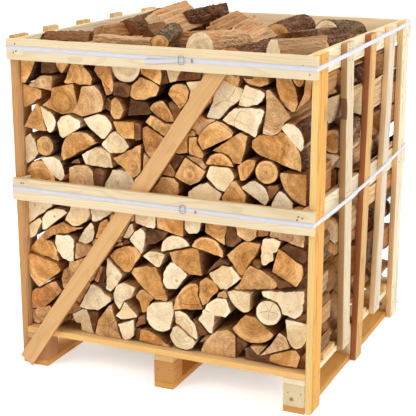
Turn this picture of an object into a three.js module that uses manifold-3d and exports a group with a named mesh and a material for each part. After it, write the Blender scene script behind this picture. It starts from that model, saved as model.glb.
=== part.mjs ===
// Crate of firewood: a one-metre pallet crate of sawn softwood, filled with four rows of split logs,
// with a loose layer of logs heaped on top and two plastic straps around it.
// Millimetres. Origin at the centre of the base, +X to the right, +Y to the back, +Z up.
import * as THREE from 'three';
import { mergeVertices } from 'three/addons/utils/BufferGeometryUtils.js';
import Module from 'manifold-3d';

// Driving dimensions
const HALF = 550;
const FIT = 0.3;
const FACE_BOARD = 20;
const UPRIGHT = 22;
const INNER = HALF - UPRIGHT;
const FACE = HALF - FACE_BOARD;
const TOP_BOARD = [1105, 1177];
const MIDDLE_BOARD = [617, 695];
const RAIL_INNER = 508;
const DECK_TOP = 142;
const DECK_BOARD = 22;
const STRINGER = 20;
const BLOCK_TOP = 100;
const BOTTOM_BOARD = 22;
const ROW_TOPS = [1112, 1090, 1090, 1085];
const ROW_ENDS = [[-507.5, -254.3], [-253.7, -0.3], [0.3, 253.7], [254.3, 507.5]];

// Colours, as 0xRRGGBB
const CREAM = 0xe9d3ac;
const ORANGE_WOOD = 0xd9a262;
const YELLOW_WOOD = 0xe2b877;
const TAN_WOOD = 0xcfa06a;
const RED_BROWN_WOOD = 0x9c5f38;
const LOG_WOOD = 0xc99a63;
const STRAP_WHITE = 0xe8eaec;
const WIRE_GREY = 0x8e9093;

// The logs of the front row as their cut ends show: tone of the wood, then the corners [x, z] of the
// end, anticlockwise. A third number is how far the edge that starts there bows out, as bark does.
const FRONT_LOGS = [
  ['orange', [-522, 1112], [-527, 1023], [-508, 1021, 6], [-463, 1112]],
  ['tan', [-502, 1012], [-412, 1000], [-406, 1053], [-452, 1048]],
  ['brown', [-450, 1058], [-404, 1060], [-392, 1096], [-408, 1112], [-440, 1112]],
  ['orange', [-390, 1112], [-388, 1090], [-368, 1062], [-338, 1094], [-338, 1112]],
  ['orange', [-361, 1031], [-254, 1031], [-249, 1053, 4], [-280, 1092], [-284, 1112], [-328, 1112],
    [-331, 1092]],
  ['rust', [-240, 1083], [-214, 1052], [-174, 1012], [-166, 1038], [-184, 1112], [-226, 1112]],
  ['rust', [-219, 1050], [-201, 998], [-176, 1008]],
  ['orange', [-526, 1018], [-526, 936], [-516, 936], [-456, 972], [-452, 999], [-503, 1010]],
  ['orange', [-446, 950], [-375, 922], [-318, 932], [-314, 956], [-326, 1030], [-408, 1010],
    [-412, 975]],
  ['tan', [-330, 933], [-290, 922], [-214, 946, 18], [-237, 1031], [-288, 1024], [-300, 985],
    [-312, 952]],
  ['brown', [-208, 952], [-184, 946], [-182, 978], [-202, 992]],
  ['orange', [-526, 868], [-468, 858], [-436, 861], [-458, 944], [-470, 955]],
  ['cream', [-432, 862], [-414, 855, 14], [-403, 922], [-455, 945]],
  ['cream', [-378, 850], [-366, 842], [-299, 884], [-298, 906], [-345, 924], [-372, 915], [-388, 893]],
  ['pale', [-274, 886], [-222, 850], [-211, 851], [-180, 890], [-182, 905], [-206, 930], [-236, 934],
    [-294, 912]],
  ['pale', [-526, 735], [-500, 750], [-472, 778], [-482, 812], [-502, 845], [-526, 830]],
  ['orange', [-475, 808, 36], [-405, 808, 36]],
  ['orange', [-376, 760], [-234, 838, 70]],
  ['cream', [-384, 687], [-366, 712, 4], [-381, 762], [-410, 775], [-459, 765], [-420, 714]],
  ['orange', [-526, 658], [-410, 658], [-410, 698, 12], [-468, 754, 12], [-526, 712]],
  ['tan', [-351, 658], [-254, 658], [-256, 735], [-278, 754], [-322, 750], [-350, 740]],
  ['brown', [-344, 754], [-306, 758], [-313, 774], [-334, 766]],
  ['pale', [-287, 758], [-230, 753], [-181, 755], [-192, 800], [-228, 820], [-256, 816], [-300, 790]],
  ['brown', [-250, 658], [-230, 658], [-208, 742], [-222, 748], [-250, 745]],
  ['pale', [-226, 658], [-128, 658], [-101, 710], [-120, 738], [-148, 750], [-186, 746], [-210, 705]],
  ['pale', [-183, 1095, 50], [-72, 1095], [-78, 1112], [-176, 1112]],
  ['brown', [-170, 1002], [-113, 1004], [-108, 1036], [-130, 1042], [-165, 1046]],
  ['orange', [-110, 1002], [-85, 992, 6], [-15, 1012, 4], [0, 1040], [-12, 1050], [-68, 1070],
    [-104, 1038]],
  ['orange', [-70, 1112], [-66, 1081], [-8, 1054], [6, 1048, 6], [6, 1112]],
  ['brown', [10, 1052], [34, 1057], [20, 1092], [14, 1112], [10, 1112]],
  ['pale', [20, 1112], [26, 1092], [38, 1058], [58, 1062], [78, 1096], [78, 1112]],
  ['brown', [64, 1066], [148, 1076], [150, 1112], [84, 1112]],
  ['orange', [74, 974], [94, 992], [106, 1034, 6], [88, 1058, 4], [50, 1054], [32, 1024]],
  ['orange', [-42, 968], [-18, 946], [20, 926], [50, 930, 6], [10, 998, 8]],
  ['orange', [-54, 922], [4, 884], [20, 880], [52, 924], [18, 924], [-20, 943], [-34, 946]],
  ['brown', [54, 930], [82, 964], [46, 1000], [30, 992], [44, 966]],
  ['orange', [-182, 942], [-168, 922], [-146, 925], [-132, 955], [-146, 985], [-164, 996], [-178, 985]],
  ['brown', [-122, 936], [-34, 950], [-46, 984], [-92, 990], [-110, 998]],
  ['orange', [-134, 861], [-94, 862], [-94, 919], [-172, 916], [-158, 882]],
  ['brown', [-92, 858], [-70, 862], [-70, 915], [-92, 918]],
  ['rust', [-66, 860], [-56, 822, 4], [-36, 803], [10, 850], [14, 874], [-52, 908], [-67, 900]],
  ['pale', [-226, 830], [-192, 804], [-145, 808], [-118, 830], [-138, 858], [-170, 880], [-186, 875]],
  ['orange', [-177, 788], [-98, 728], [-72, 756], [-68, 844], [-78, 842]],
  ['rust', [98, 890], [130, 892], [127, 905], [116, 912]],
  ['orange', [103, 830], [154, 820], [157, 834], [132, 866], [131, 888], [104, 886]],
  ['orange', [152, 846], [252, 898], [259, 914, 8], [200, 948, 10], [134, 880]],
  ['cream', [163, 954], [205, 950], [222, 968], [242, 992], [276, 1016], [290, 1052], [222, 1078],
    [192, 1040], [186, 1005]],
  ['cream', [276, 1003], [300, 998], [346, 1012, 5], [366, 1046], [340, 1056], [300, 1069],
    [290, 1044]],
  ['orange', [282, 1096, 20], [377, 1076], [366, 1112], [288, 1112]],
  ['cream', [222, 952], [332, 903], [363, 988], [354, 998], [268, 995], [244, 975]],
  ['tan', [358, 918], [394, 913], [418, 932], [430, 958], [452, 978], [384, 1060], [371, 1058],
    [371, 1000]],
  ['orange', [398, 1112], [402, 1066, 10], [450, 994], [464, 996], [472, 1022], [464, 1066],
    [450, 1092], [448, 1112]],
  ['rust', [456, 1112], [462, 1082], [480, 1074], [492, 1092], [492, 1112]],
  ['tan', [468, 997], [515, 1042], [522, 1112], [500, 1112], [494, 1052]],
  ['cream', [430, 931], [488, 872], [498, 890, 12], [466, 956], [438, 958], [422, 944]],
  ['orange', [320, 868], [345, 848], [486, 804, 26], [418, 930], [400, 914], [345, 912], [322, 892]],
  ['orange', [184, 846], [240, 838], [258, 812], [284, 812], [306, 903], [280, 914], [248, 893]],
  ['orange', [163, 802], [260, 800, 42]],
  ['pale', [164, 760], [206, 720], [230, 716], [265, 768], [250, 796], [178, 797]],
  ['orange', [220, 698], [234, 658], [294, 658], [306, 712], [270, 756], [258, 756]],
  ['orange', [274, 806], [285, 758], [302, 762], [333, 806], [336, 830], [312, 832]],
  ['orange', [334, 795, 39], [413, 795, 39]],
  ['pale', [286, 736], [368, 684], [383, 706, 10], [350, 757, 6], [318, 760]],
  ['pale', [98, 658], [202, 658], [220, 710], [196, 722], [166, 742], [124, 722], [98, 700]],
  ['orange', [52, 750], [72, 738], [108, 725], [142, 742], [165, 778], [92, 818]],
  ['rust', [8, 752], [50, 748], [56, 764], [36, 794], [24, 775]],
  ['orange', [-40, 658], [48, 658], [66, 702], [64, 728], [48, 744], [2, 742], [-34, 690]],
  ['cream', [378, 658], [460, 658], [464, 702], [438, 730], [418, 738], [404, 722]],
  ['orange', [418, 798, 24], [508, 698], [508, 800]],
  ['rust', [466, 658], [520, 658], [514, 694], [480, 696], [468, 690]],
  ['brown', [388, 708], [417, 742], [412, 756], [376, 751]],
  ['pale', [-526, 520], [-480, 556], [-426, 592], [-430, 655], [-526, 655]],
  ['pale', [-526, 462], [-498, 478], [-486, 505], [-468, 532], [-480, 545], [-526, 514]],
  ['pale', [-464, 506], [-450, 508], [-412, 540], [-362, 578], [-374, 588], [-410, 588], [-446, 572],
    [-464, 548]],
  ['orange', [-488, 474], [-464, 464], [-424, 490], [-370, 502], [-302, 530], [-350, 528], [-382, 540],
    [-436, 516]],
  ['pale', [-374, 550], [-342, 534], [-316, 538], [-288, 556], [-273, 578], [-292, 655], [-345, 655],
    [-352, 596]],
  ['pale', [-268, 655], [-264, 561], [-236, 566], [-186, 598], [-184, 655]],
  ['orange', [-252, 500], [-230, 505], [-196, 560], [-206, 574], [-232, 560]],
  ['pale', [-328, 477], [-296, 471], [-272, 484], [-262, 508], [-262, 536], [-276, 550], [-312, 510]],
  ['orange', [-526, 418], [-440, 399], [-411, 390], [-411, 432], [-424, 462], [-486, 468], [-500, 458]],
  ['cream', [-352, 402], [-342, 408], [-337, 484], [-352, 497], [-408, 494], [-418, 474], [-408, 436],
    [-386, 412]],
  ['tan', [-337, 413], [-318, 418], [-286, 436], [-258, 466], [-330, 474]],
  ['orange', [-362, 380], [-342, 360], [-300, 400], [-272, 440], [-300, 424], [-338, 406], [-360, 400]],
  ['orange', [-526, 336, 4], [-490, 288], [-402, 356], [-398, 370], [-412, 386], [-440, 395],
    [-526, 413]],
  ['tan', [-398, 330], [-390, 300], [-382, 294], [-338, 356], [-362, 376], [-388, 368]],
  ['rust', [-526, 262], [-526, 202], [-470, 215], [-395, 285], [-420, 318], [-442, 312], [-484, 282],
    [-505, 280]],
  ['tan', [-526, 196], [-526, 146], [-500, 144], [-436, 206], [-450, 224]],
  ['tan', [-496, 143], [-420, 143], [-398, 176], [-432, 200]],
  ['pale', [-328, 237], [-292, 232], [-248, 239], [-198, 276], [-198, 288], [-266, 333], [-276, 328]],
  ['pale', [-362, 202], [-346, 172], [-326, 176], [-324, 148], [-292, 143], [-272, 144], [-276, 165],
    [-300, 230], [-314, 228]],
  ['brown', [-270, 150], [-254, 200], [-250, 228], [-290, 225]],
  ['brown', [-395, 174], [-368, 180], [-366, 200], [-380, 194]],
  ['tan', [-264, 143], [-158, 143], [-172, 170], [-178, 206], [-188, 232], [-194, 266], [-204, 262],
    [-250, 200]],
  ['rust', [-262, 345], [-246, 341], [-226, 396], [-236, 404]],
  ['brown', [-241, 343], [-224, 343], [-218, 400], [-226, 402]],
  ['pale', [-96, 655], [-95, 574], [-78, 568], [-26, 558], [-18, 600], [-18, 655]],
  ['orange', [-14, 655], [-14, 566], [56, 550], [82, 546], [83, 655]],
  ['pale', [86, 655], [88, 575], [100, 559], [134, 564, 4], [148, 598], [146, 655]],
  ['orange', [166, 655], [161, 572], [233, 536], [231, 566], [242, 600], [242, 655]],
  ['brown', [236, 560], [240, 534], [262, 536], [292, 562], [268, 590], [262, 655], [246, 655]],
  ['tan', [268, 655], [270, 592], [280, 572], [312, 557, 5], [341, 578], [340, 655]],
  ['rust', [344, 655], [344, 576], [380, 584], [384, 655]],
  ['tan', [388, 655], [386, 584], [424, 580], [504, 560], [508, 655]],
  ['pale', [360, 479], [400, 502], [397, 528], [412, 536], [426, 572], [400, 578], [372, 574],
    [358, 570]],
  ['orange', [393, 464], [480, 425], [496, 450, 6], [500, 500], [476, 510], [446, 530], [416, 546]],
  ['brown', [424, 550], [448, 535], [478, 516], [504, 506], [514, 540], [500, 554], [448, 564]],
  ['orange', [236, 502], [286, 436], [296, 440], [314, 482], [334, 506], [356, 556], [300, 556],
    [286, 548]],
  ['orange', [262, 387], [298, 390], [406, 406], [416, 428], [384, 452], [346, 466], [320, 480],
    [298, 446], [284, 414]],
  ['pale', [220, 382], [240, 386], [264, 404], [290, 430], [258, 466], [224, 466], [178, 432],
    [186, 418]],
  ['brown', [160, 424], [172, 434], [222, 470], [252, 472], [214, 490]],
  ['orange', [110, 516], [226, 490, 54]],
  ['cream', [-2, 484], [104, 514, 48]],
  ['orange', [44, 452], [104, 418], [150, 420], [138, 508], [116, 512], [70, 498], [30, 486]],
  ['cream', [3, 376], [10, 351], [22, 350], [52, 358], [92, 412], [42, 447], [26, 448], [0, 402]],
  ['pale', [-73, 458], [-18, 427], [-6, 430], [14, 476], [-20, 481], [-48, 478]],
  ['brown', [-60, 500], [-24, 508], [8, 530], [24, 552], [-20, 556], [-52, 550]],
  ['cream', [-122, 512], [-76, 466], [-64, 500], [-61, 540], [-76, 557], [-104, 538]],
  ['pale', [-148, 513], [-125, 514], [-104, 541], [-108, 570], [-118, 566]],
  ['tan', [-184, 476], [-148, 486], [-150, 496], [-162, 494]],
  ['brown', [-146, 488], [-118, 500], [-128, 508], [-140, 508]],
  ['orange', [-204, 442], [-148, 392], [-124, 394], [-82, 462], [-104, 486], [-134, 483], [-170, 472]],
  ['pale', [-216, 320], [-200, 310], [-186, 324], [-154, 368], [-150, 384], [-206, 436], [-212, 380]],
  ['orange', [-118, 392, 8], [-28, 311], [14, 307], [20, 318], [-10, 384], [-24, 425], [-62, 423],
    [-108, 410]],
  ['pale', [-187, 308], [-184, 278], [-164, 251], [-146, 288], [-120, 300], [-104, 340], [-150, 353],
    [-174, 340]],
  ['pale', [-180, 227], [-158, 216], [-98, 234], [-96, 243], [-142, 284], [-163, 247]],
  ['orange', [-82, 252], [-64, 257], [-50, 292], [-36, 310], [-76, 334], [-94, 325], [-106, 308],
    [-90, 288]],
  ['cream', [-174, 197], [-152, 146], [-142, 143], [-112, 160], [-106, 190], [-108, 224]],
  ['brown', [-102, 196], [-66, 214], [-66, 248], [-94, 234]],
  ['brown', [-110, 146], [-94, 146], [-86, 196], [-104, 186]],
  ['orange', [-90, 150], [8, 143], [27, 147], [-20, 176], [-50, 192], [-82, 195]],
  ['pale', [-60, 232, 24], [26, 206], [42, 270], [38, 310], [0, 303], [-36, 296], [-58, 275]],
  ['orange', [42, 284], [152, 300], [134, 340], [132, 384], [104, 388, 14]],
  ['orange', [137, 344], [152, 314], [164, 324], [212, 380], [196, 402], [164, 416], [141, 400]],
  ['cream', [160, 302], [196, 285], [236, 287], [256, 310], [236, 350], [204, 350], [168, 324]],
  ['tan', [206, 353], [238, 353], [244, 370], [230, 378], [214, 372]],
  ['cream', [132, 257], [174, 216], [184, 218], [196, 282], [158, 299], [152, 298]],
  ['brown', [136, 206], [148, 206], [168, 214], [132, 250], [116, 262], [128, 230]],
  ['pale', [48, 232], [60, 230], [106, 197], [132, 186], [130, 218, 6], [106, 258, 6], [66, 281],
    [44, 276]],
  ['pale', [28, 187, 40], [131, 180], [104, 194], [58, 227], [40, 218]],
  ['tan', [140, 143], [269, 143], [268, 222], [240, 240], [196, 226, 10]],
  ['brown', [272, 146], [312, 198], [304, 208], [272, 220]],
  ['orange', [256, 246, 40], [407, 246], [340, 298], [302, 302]],
  ['tan', [360, 170], [464, 213], [448, 248], [424, 260], [396, 212]],
  ['tan', [324, 198], [354, 170], [362, 182], [382, 205], [344, 202]],
  ['orange', [392, 160], [440, 149], [488, 148], [500, 188], [484, 210], [456, 203], [398, 180]],
  ['brown', [490, 146], [520, 146], [520, 206], [502, 190]],
  ['cream', [362, 396], [368, 378], [418, 364], [434, 326], [476, 313], [500, 334], [508, 414],
    [440, 403], [396, 400]],
  ['cream', [342, 326, 44], [432, 322, 44]],
  ['pale', [455, 246], [470, 221], [486, 215], [504, 223], [520, 246], [520, 306], [478, 309],
    [446, 310]],
  ['brown', [482, 312], [518, 312], [516, 334], [503, 334]],
  ['pale', [238, 374, 12], [300, 312], [322, 320], [325, 384], [262, 384]],
  ['brown', [328, 482], [352, 470], [358, 480], [356, 498], [336, 502]],
  ['brown', [364, 470], [386, 455], [416, 434], [420, 416], [468, 427], [392, 460]],
  ['orange', [154, 1112], [153, 1080], [188, 1046], [218, 1082], [278, 1060], [280, 1092], [270, 1112]],
  ['pale', [96, 1064], [112, 1036], [100, 994], [140, 968], [180, 1008], [186, 1040], [152, 1072]],
  ['tan', [88, 966], [60, 928], [112, 916], [136, 890], [196, 950], [160, 950], [140, 962], [100, 988]],
  ['orange', [58, 922], [18, 872], [16, 852], [60, 826], [98, 832], [98, 884], [110, 912]],
  ['brown', [10, 844], [-34, 798], [20, 780], [36, 800], [54, 772], [88, 822], [56, 822]],
  ['tan', [98, 824], [160, 782], [168, 796], [160, 802], [150, 816]],
  ['tan', [-66, 756], [-30, 738], [4, 752], [18, 776], [-38, 798], [-62, 818]],
  ['pale', [-124, 658], [-46, 658], [-38, 690], [-6, 742], [-32, 732], [-68, 752], [-96, 724],
    [-96, 710]],
  ['tan', [-180, 655], [-182, 600], [-150, 588], [-101, 578], [-101, 655]],
  ['tan', [-190, 594], [-200, 576], [-192, 556], [-176, 530], [-152, 514], [-122, 566], [-120, 574],
    [-150, 584]],
  ['tan', [-226, 504], [-190, 478], [-166, 496], [-152, 500], [-152, 510], [-196, 552]],
  ['tan', [-268, 482], [-254, 464], [-282, 434], [-270, 438], [-240, 406], [-210, 444], [-190, 472],
    [-228, 500], [-256, 496]],
  ['tan', [-294, 400], [-336, 358], [-280, 336], [-264, 350], [-242, 404], [-268, 432]],
  ['brown', [-258, 336], [-206, 300], [-220, 322], [-224, 338]],
  ['orange', [-334, 352], [-378, 292], [-330, 246], [-280, 330], [-300, 338]],
  ['tan', [-440, 212], [-432, 204], [-400, 180], [-382, 198], [-362, 206], [-316, 232], [-330, 240],
    [-386, 286]],
];

// Logs heaped on top that lie free: name, end shape, width, height, length, place, heading, pitch, roll
const TOP_LOGS = [
  ['top_log_peak', 'slab', 138, 62, 236, [-173, 0, 1189], 86, 5, 46],
  ['top_log_dark_bark', 'quarter', 88, 66, 180, [-114, 100, 1201], 62, 4, 150],
  ['top_log_long_split', 'wedge', 80, 66, 245, [21, 20, 1190], 90, 5, -24],
  ['top_log_big_split', 'slab', 126, 58, 230, [171, -140, 1170], 92, 5, 42],
  ['top_log_bark_round', 'half', 98, 72, 250, [380, 220, 1171], 84, -7, 0],
  ['top_log_tan_face', 'quarter', 88, 60, 190, [438, -400, 1182], 56, 1, 4],
  ['top_log_red_bark', 'half', 128, 54, 236, [286, -400, 1167], 74, 2, 0],
  ['top_log_half_end', 'half', 112, 70, 236, [155, -370, 1186], 80, -3, 0],
  ['top_log_grey_bark', 'round', 64, 56, 235, [-31, -380, 1190], 104, 2, 0],
  ['top_log_flat', 'slab', 80, 40, 232, [-136, -450, 1173], 2, -1, 6],
];

// The rest of the heap, each log resting on its neighbours: end shape, width, height, length, place,
// heading, pitch, roll
const HEAP = [
  ['half', 104, 76, 236, [191, 200, 1168], 86, 3, 0],
  ['slab', 104, 42, 200, [338, 0, 1169], 74, -2, -6],
  ['half', 84, 56, 226, [439, -40, 1155], 80, -2, 0],
  ['wedge', 70, 52, 190, [-13, -280, 1166], 20, 6, 10],
  ['half', 96, 52, 210, [-454, -340, 1161], 12, 1, 0],
  ['quarter', 84, 62, 160, [-350, -160, 1164], 82, 2, 0],
  ['half', 96, 76, 245, [-303, 0, 1189], 84, 4, 0],
  ['wedge', 66, 58, 200, [-166, -160, 1176], 92, -2, 0],
  ['quarter', 112, 62, 238, [-432, -384, 1134], 84, -1, 0],
  ['slab', 119, 50, 238, [-288, -384, 1134], 89, 0, 3],
  ['half', 112, 54, 238, [-144, -384, 1134], 94, 1, 6],
  ['half', 119, 54, 238, [0, -384, 1134], 86, -1, 9],
  ['quarter', 112, 62, 238, [144, -384, 1134], 91, 0, 0],
  ['wedge', 119, 66, 238, [288, -384, 1134], 96, 1, 3],
  ['wedge', 112, 66, 238, [432, -384, 1134], 88, -1, 6],
  ['wedge', 119, 66, 250, [-432, -128, 1092], 93, 0, 9],
  ['wedge', 112, 66, 250, [-288, -128, 1104], 85, 1, 0],
  ['quarter', 119, 62, 250, [-144, -128, 1116], 90, -1, 3],
  ['slab', 112, 50, 250, [0, -128, 1116], 95, 0, 6],
  ['half', 119, 54, 250, [144, -128, 1124], 87, 1, 9],
  ['half', 112, 54, 250, [288, -128, 1124], 92, -1, 0],
  ['quarter', 119, 62, 250, [432, -128, 1124], 84, 0, 3],
  ['half', 112, 54, 250, [-432, 128, 1092], 89, 1, 6],
  ['quarter', 119, 62, 250, [-288, 128, 1104], 94, -1, 9],
  ['wedge', 112, 66, 250, [-144, 128, 1116], 86, 0, 0],
  ['wedge', 119, 66, 250, [0, 128, 1116], 91, 1, 3],
  ['quarter', 112, 62, 250, [144, 128, 1124], 96, -1, 6],
  ['slab', 119, 50, 250, [288, 128, 1124], 88, 0, 9],
  ['half', 112, 54, 250, [432, 128, 1124], 93, 1, 0],
  ['slab', 119, 50, 238, [-432, 384, 1096], 85, -1, 3],
  ['half', 112, 54, 238, [-288, 384, 1108], 90, 0, 6],
  ['half', 119, 54, 238, [-144, 384, 1108], 95, 1, 9],
  ['quarter', 112, 62, 238, [0, 384, 1108], 87, -1, 0],
  ['wedge', 119, 66, 238, [144, 384, 1108], 92, 0, 3],
  ['wedge', 112, 66, 238, [288, 384, 1108], 84, 1, 6],
  ['quarter', 119, 62, 238, [432, 384, 1108], 89, -1, 9],
];

const wasm = await Module();
wasm.setup();

const crate = new THREE.Group();
crate.name = 'firewood_crate';

function addPiece(name, geometry, colour, roughness = 0.8, metalness = 0) {
  const material = new THREE.MeshStandardMaterial({ color: colour, roughness, metalness });
  const mesh = new THREE.Mesh(geometry, material);
  mesh.name = name;
  crate.add(mesh);
}

function boxGeometry([x0, x1], [y0, y1], [z0, z1]) {
  const geometry = new THREE.BoxGeometry(x1 - x0, y1 - y0, z1 - z0);
  return geometry.translate((x0 + x1) / 2, (y0 + y1) / 2, (z0 + z1) / 2);
}

// An outline drawn in X and Z, run in depth from y0 to y1
function depthPrism(outline, y0, y1) {
  const shape = new THREE.Shape(outline.map(([x, z]) => new THREE.Vector2(x, z)));
  const geometry = new THREE.ExtrudeGeometry(shape, { depth: y1 - y0, bevelEnabled: false });
  return geometry.rotateX(Math.PI / 2).translate(0, y1, 0);
}

// An outline drawn in Y and Z, run across from x0 to x1
function crossPrism(outline, x0, x1) {
  const shape = new THREE.Shape(outline.map(([y, z]) => new THREE.Vector2(y, z)));
  const geometry = new THREE.ExtrudeGeometry(shape, { depth: x1 - x0, bevelEnabled: false });
  const turn = new THREE.Matrix4().makeBasis(
    new THREE.Vector3(0, 1, 0), new THREE.Vector3(0, 0, 1), new THREE.Vector3(1, 0, 0));
  return geometry.applyMatrix4(turn).translate(x0, 0, 0);
}

function toSolid(geometry) {
  const bare = geometry.clone();
  bare.deleteAttribute('normal');
  bare.deleteAttribute('uv');
  const merged = mergeVertices(bare, 1e-4);
  return new wasm.Manifold(new wasm.Mesh({
    numProp: 3,
    vertProperties: new Float32Array(merged.attributes.position.array),
    triVerts: new Uint32Array(merged.index.array),
  }));
}

function toGeometry(solid) {
  const mesh = solid.getMesh();
  const geometry = new THREE.BufferGeometry();
  geometry.setAttribute('position', new THREE.BufferAttribute(new Float32Array(mesh.vertProperties), 3));
  geometry.setIndex(new THREE.BufferAttribute(new Uint32Array(mesh.triVerts), 1));
  const flat = geometry.toNonIndexed();
  flat.computeVertexNormals();
  return flat;
}

function largestBody(solid) {
  return solid.decompose().sort((a, b) => b.volume() - a.volume())[0];
}

// Surfaces swept from one ring of points to the next, with flat ends unless the sweep closes on itself
function sweep(rings, closed) {
  const positions = [];
  const sides = rings[0].length;
  const quad = (a, b, c, d) => positions.push(...a, ...b, ...c, ...a, ...c, ...d);
  const last = closed ? rings.length : rings.length - 1;
  for (let i = 0; i < last; i += 1) {
    const here = rings[i];
    const next = rings[(i + 1) % rings.length];
    for (let j = 0; j < sides; j += 1) {
      const k = (j + 1) % sides;
      quad(here[j], here[k], next[k], next[j]);
    }
  }
  if (!closed) {
    const end = rings[rings.length - 1];
    for (let j = 1; j < sides - 1; j += 1) {
      positions.push(...rings[0][0], ...rings[0][j + 1], ...rings[0][j]);
      positions.push(...end[0], ...end[j], ...end[j + 1]);
    }
  }
  const geometry = new THREE.BufferGeometry();
  geometry.setAttribute('position', new THREE.BufferAttribute(new Float32Array(positions), 3));
  geometry.computeVertexNormals();
  return geometry;
}

// Pallet: bottom boards, blocks and stringers in depth, deck boards across
const palletSide = INNER - FIT;
const columns = [['left', -palletSide, -448], ['middle', -20, 52], ['right', 452, palletSide]];
const blockRows = [['front', -FACE, -455], ['centre', -37, 38], ['back', 455, FACE]];
for (const [side, x0, x1] of columns) {
  addPiece(`bottom_board_${side}`, boxGeometry([x0, x1], [-FACE, FACE], [0, BOTTOM_BOARD]), ORANGE_WOOD);
  const stringerHeight = [BLOCK_TOP, BLOCK_TOP + STRINGER - FIT];
  addPiece(`stringer_${side}`, boxGeometry([x0, x1], [-FACE, FACE], stringerHeight), YELLOW_WOOD);
  for (const [place, y0, y1] of blockRows) {
    const colour = side === 'right' ? CREAM : TAN_WOOD;
    const blockHeight = [BOTTOM_BOARD + FIT, BLOCK_TOP - FIT];
    addPiece(`block_${place}_${side}`, boxGeometry([x0, x1], [y0, y1], blockHeight), colour);
  }
}
const deckBoards = 6;
const deckBoardWidth = 120;
const deckPitch = (2 * FACE - deckBoardWidth) / (deckBoards - 1);
for (let i = 0; i < deckBoards; i += 1) {
  const y0 = -FACE + i * deckPitch;
  const height = [DECK_TOP - DECK_BOARD, DECK_TOP];
  const deckBoard = boxGeometry([-palletSide, palletSide], [y0, y0 + deckBoardWidth], height);
  addPiece(`deck_board_${i + 1}`, deckBoard, ORANGE_WOOD);
}

// Uprights: front edge at the foot and at the top, width, foot, top, colour
const cornerEdge = -FACE + FIT;
const rightUprights = [
  ['post_front_right', cornerEdge, cornerEdge, 89.7, 3, 1180, YELLOW_WOOD],
  ['slat_right_1', -197.5, -254.5, 77, 105, 1181, TAN_WOOD],
  ['slat_right_2', -37, 16, 72, 3, 1179, RED_BROWN_WOOD],
  ['slat_right_3', 189, 266, 71, 105, 1182, TAN_WOOD],
  ['post_back_right', 438, 438, 91.7, 3, 1180, TAN_WOOD],
];
const leftUprights = [
  ['post_front_left', cornerEdge, cornerEdge, 89.7, 3, 1184, YELLOW_WOOD],
  ['slat_left_1', -336, -318, 75, 105, 1191, TAN_WOOD],
  ['slat_left_2', -70, -88, 72, 3, 1188, YELLOW_WOOD],
  ['slat_left_3', 150, 168, 72, 105, 1190, TAN_WOOD],
  ['post_back_left', 438, 438, 91.7, 3, 1184, TAN_WOOD],
];
function uprightOutline([name, footEdge, topEdge, width, foot, top]) {
  const edgeAt = (z) => footEdge + ((topEdge - footEdge) * (z - foot)) / (top - foot);
  const outline = [[footEdge, foot], [footEdge + width, foot], [topEdge + width, top], [topEdge, top]];
  if (name === 'slat_right_1') {
    const wane = [[1003, 0], [985, 6], [955, 9], [932, 5], [922, 0]];
    outline.push(...wane.map(([z, bite]) => [edgeAt(z) + bite, z]));
  }
  return outline;
}
for (const upright of rightUprights) {
  addPiece(upright[0], crossPrism(uprightOutline(upright), INNER, HALF), upright[6]);
}
for (const upright of leftUprights) {
  addPiece(upright[0], crossPrism(uprightOutline(upright), -HALF, -INNER), upright[6]);
}

// Side rails inside the uprights, and the wide boards across the front and the back
const railLength = [-FACE + FIT, FACE - FIT];
const railHeights = [['top', 1103, 1177], ['middle', 617, 697]];
for (const [level, z0, z1] of railHeights) {
  addPiece(`rail_${level}_left`, boxGeometry([FIT - INNER, -RAIL_INNER], railLength, [z0, z1]), CREAM);
  addPiece(`rail_${level}_right`, boxGeometry([RAIL_INNER, INNER - FIT], railLength, [z0, z1]), CREAM);
}
for (const [level, span] of [['top', TOP_BOARD], ['middle', MIDDLE_BOARD]]) {
  addPiece(`front_board_${level}`, boxGeometry([-HALF, HALF], [-HALF, -FACE], span), CREAM);
  addPiece(`back_board_${level}`, boxGeometry([-HALF, HALF], [FACE, HALF], span), CREAM);
}

// Diagonal braces: outside the pallet at the foot, sprung behind both boards above
const BRACE_FOOT = [-526, 18.5];
const BRACE_TOP = [252, 1162.6];
const BRACE_WIDTH = 58;
const BRACE_THICK = 19.7;
const braceRun = Math.hypot(BRACE_TOP[0] - BRACE_FOOT[0], BRACE_TOP[1] - BRACE_FOOT[1]);
const alongX = (BRACE_TOP[0] - BRACE_FOOT[0]) / braceRun;
const alongZ = (BRACE_TOP[1] - BRACE_FOOT[1]) / braceRun;
const braceRings = [];
const BEND_FROM = 150;
const BEND_HEIGHT = 440;
const braceStations = [0, BEND_FROM, 250, 370, 490, BEND_FROM + BEND_HEIGHT, BRACE_TOP[1]];
for (const z of braceStations) {
  const share = z / BRACE_TOP[1];
  const x = BRACE_FOOT[0] + alongX * braceRun * share;
  const height = BRACE_FOOT[1] + alongZ * braceRun * share;
  const rise = Math.min(1, Math.max(0, (z - BEND_FROM) / BEND_HEIGHT));
  const front = -HALF + (FACE_BOARD + FIT) * rise * rise * (3 - 2 * rise);
  const [sideX, sideZ] = [(alongZ * BRACE_WIDTH) / 2, (-alongX * BRACE_WIDTH) / 2];
  braceRings.push([
    [x - sideX, front, height - sideZ],
    [x + sideX, front, height + sideZ],
    [x + sideX, front + BRACE_THICK, height + sideZ],
    [x - sideX, front + BRACE_THICK, height - sideZ],
  ]);
}
const brace = sweep(braceRings, false);
addPiece('brace_front', brace, ORANGE_WOOD);
addPiece('brace_back', brace.clone().rotateZ(Math.PI), ORANGE_WOOD);

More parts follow.
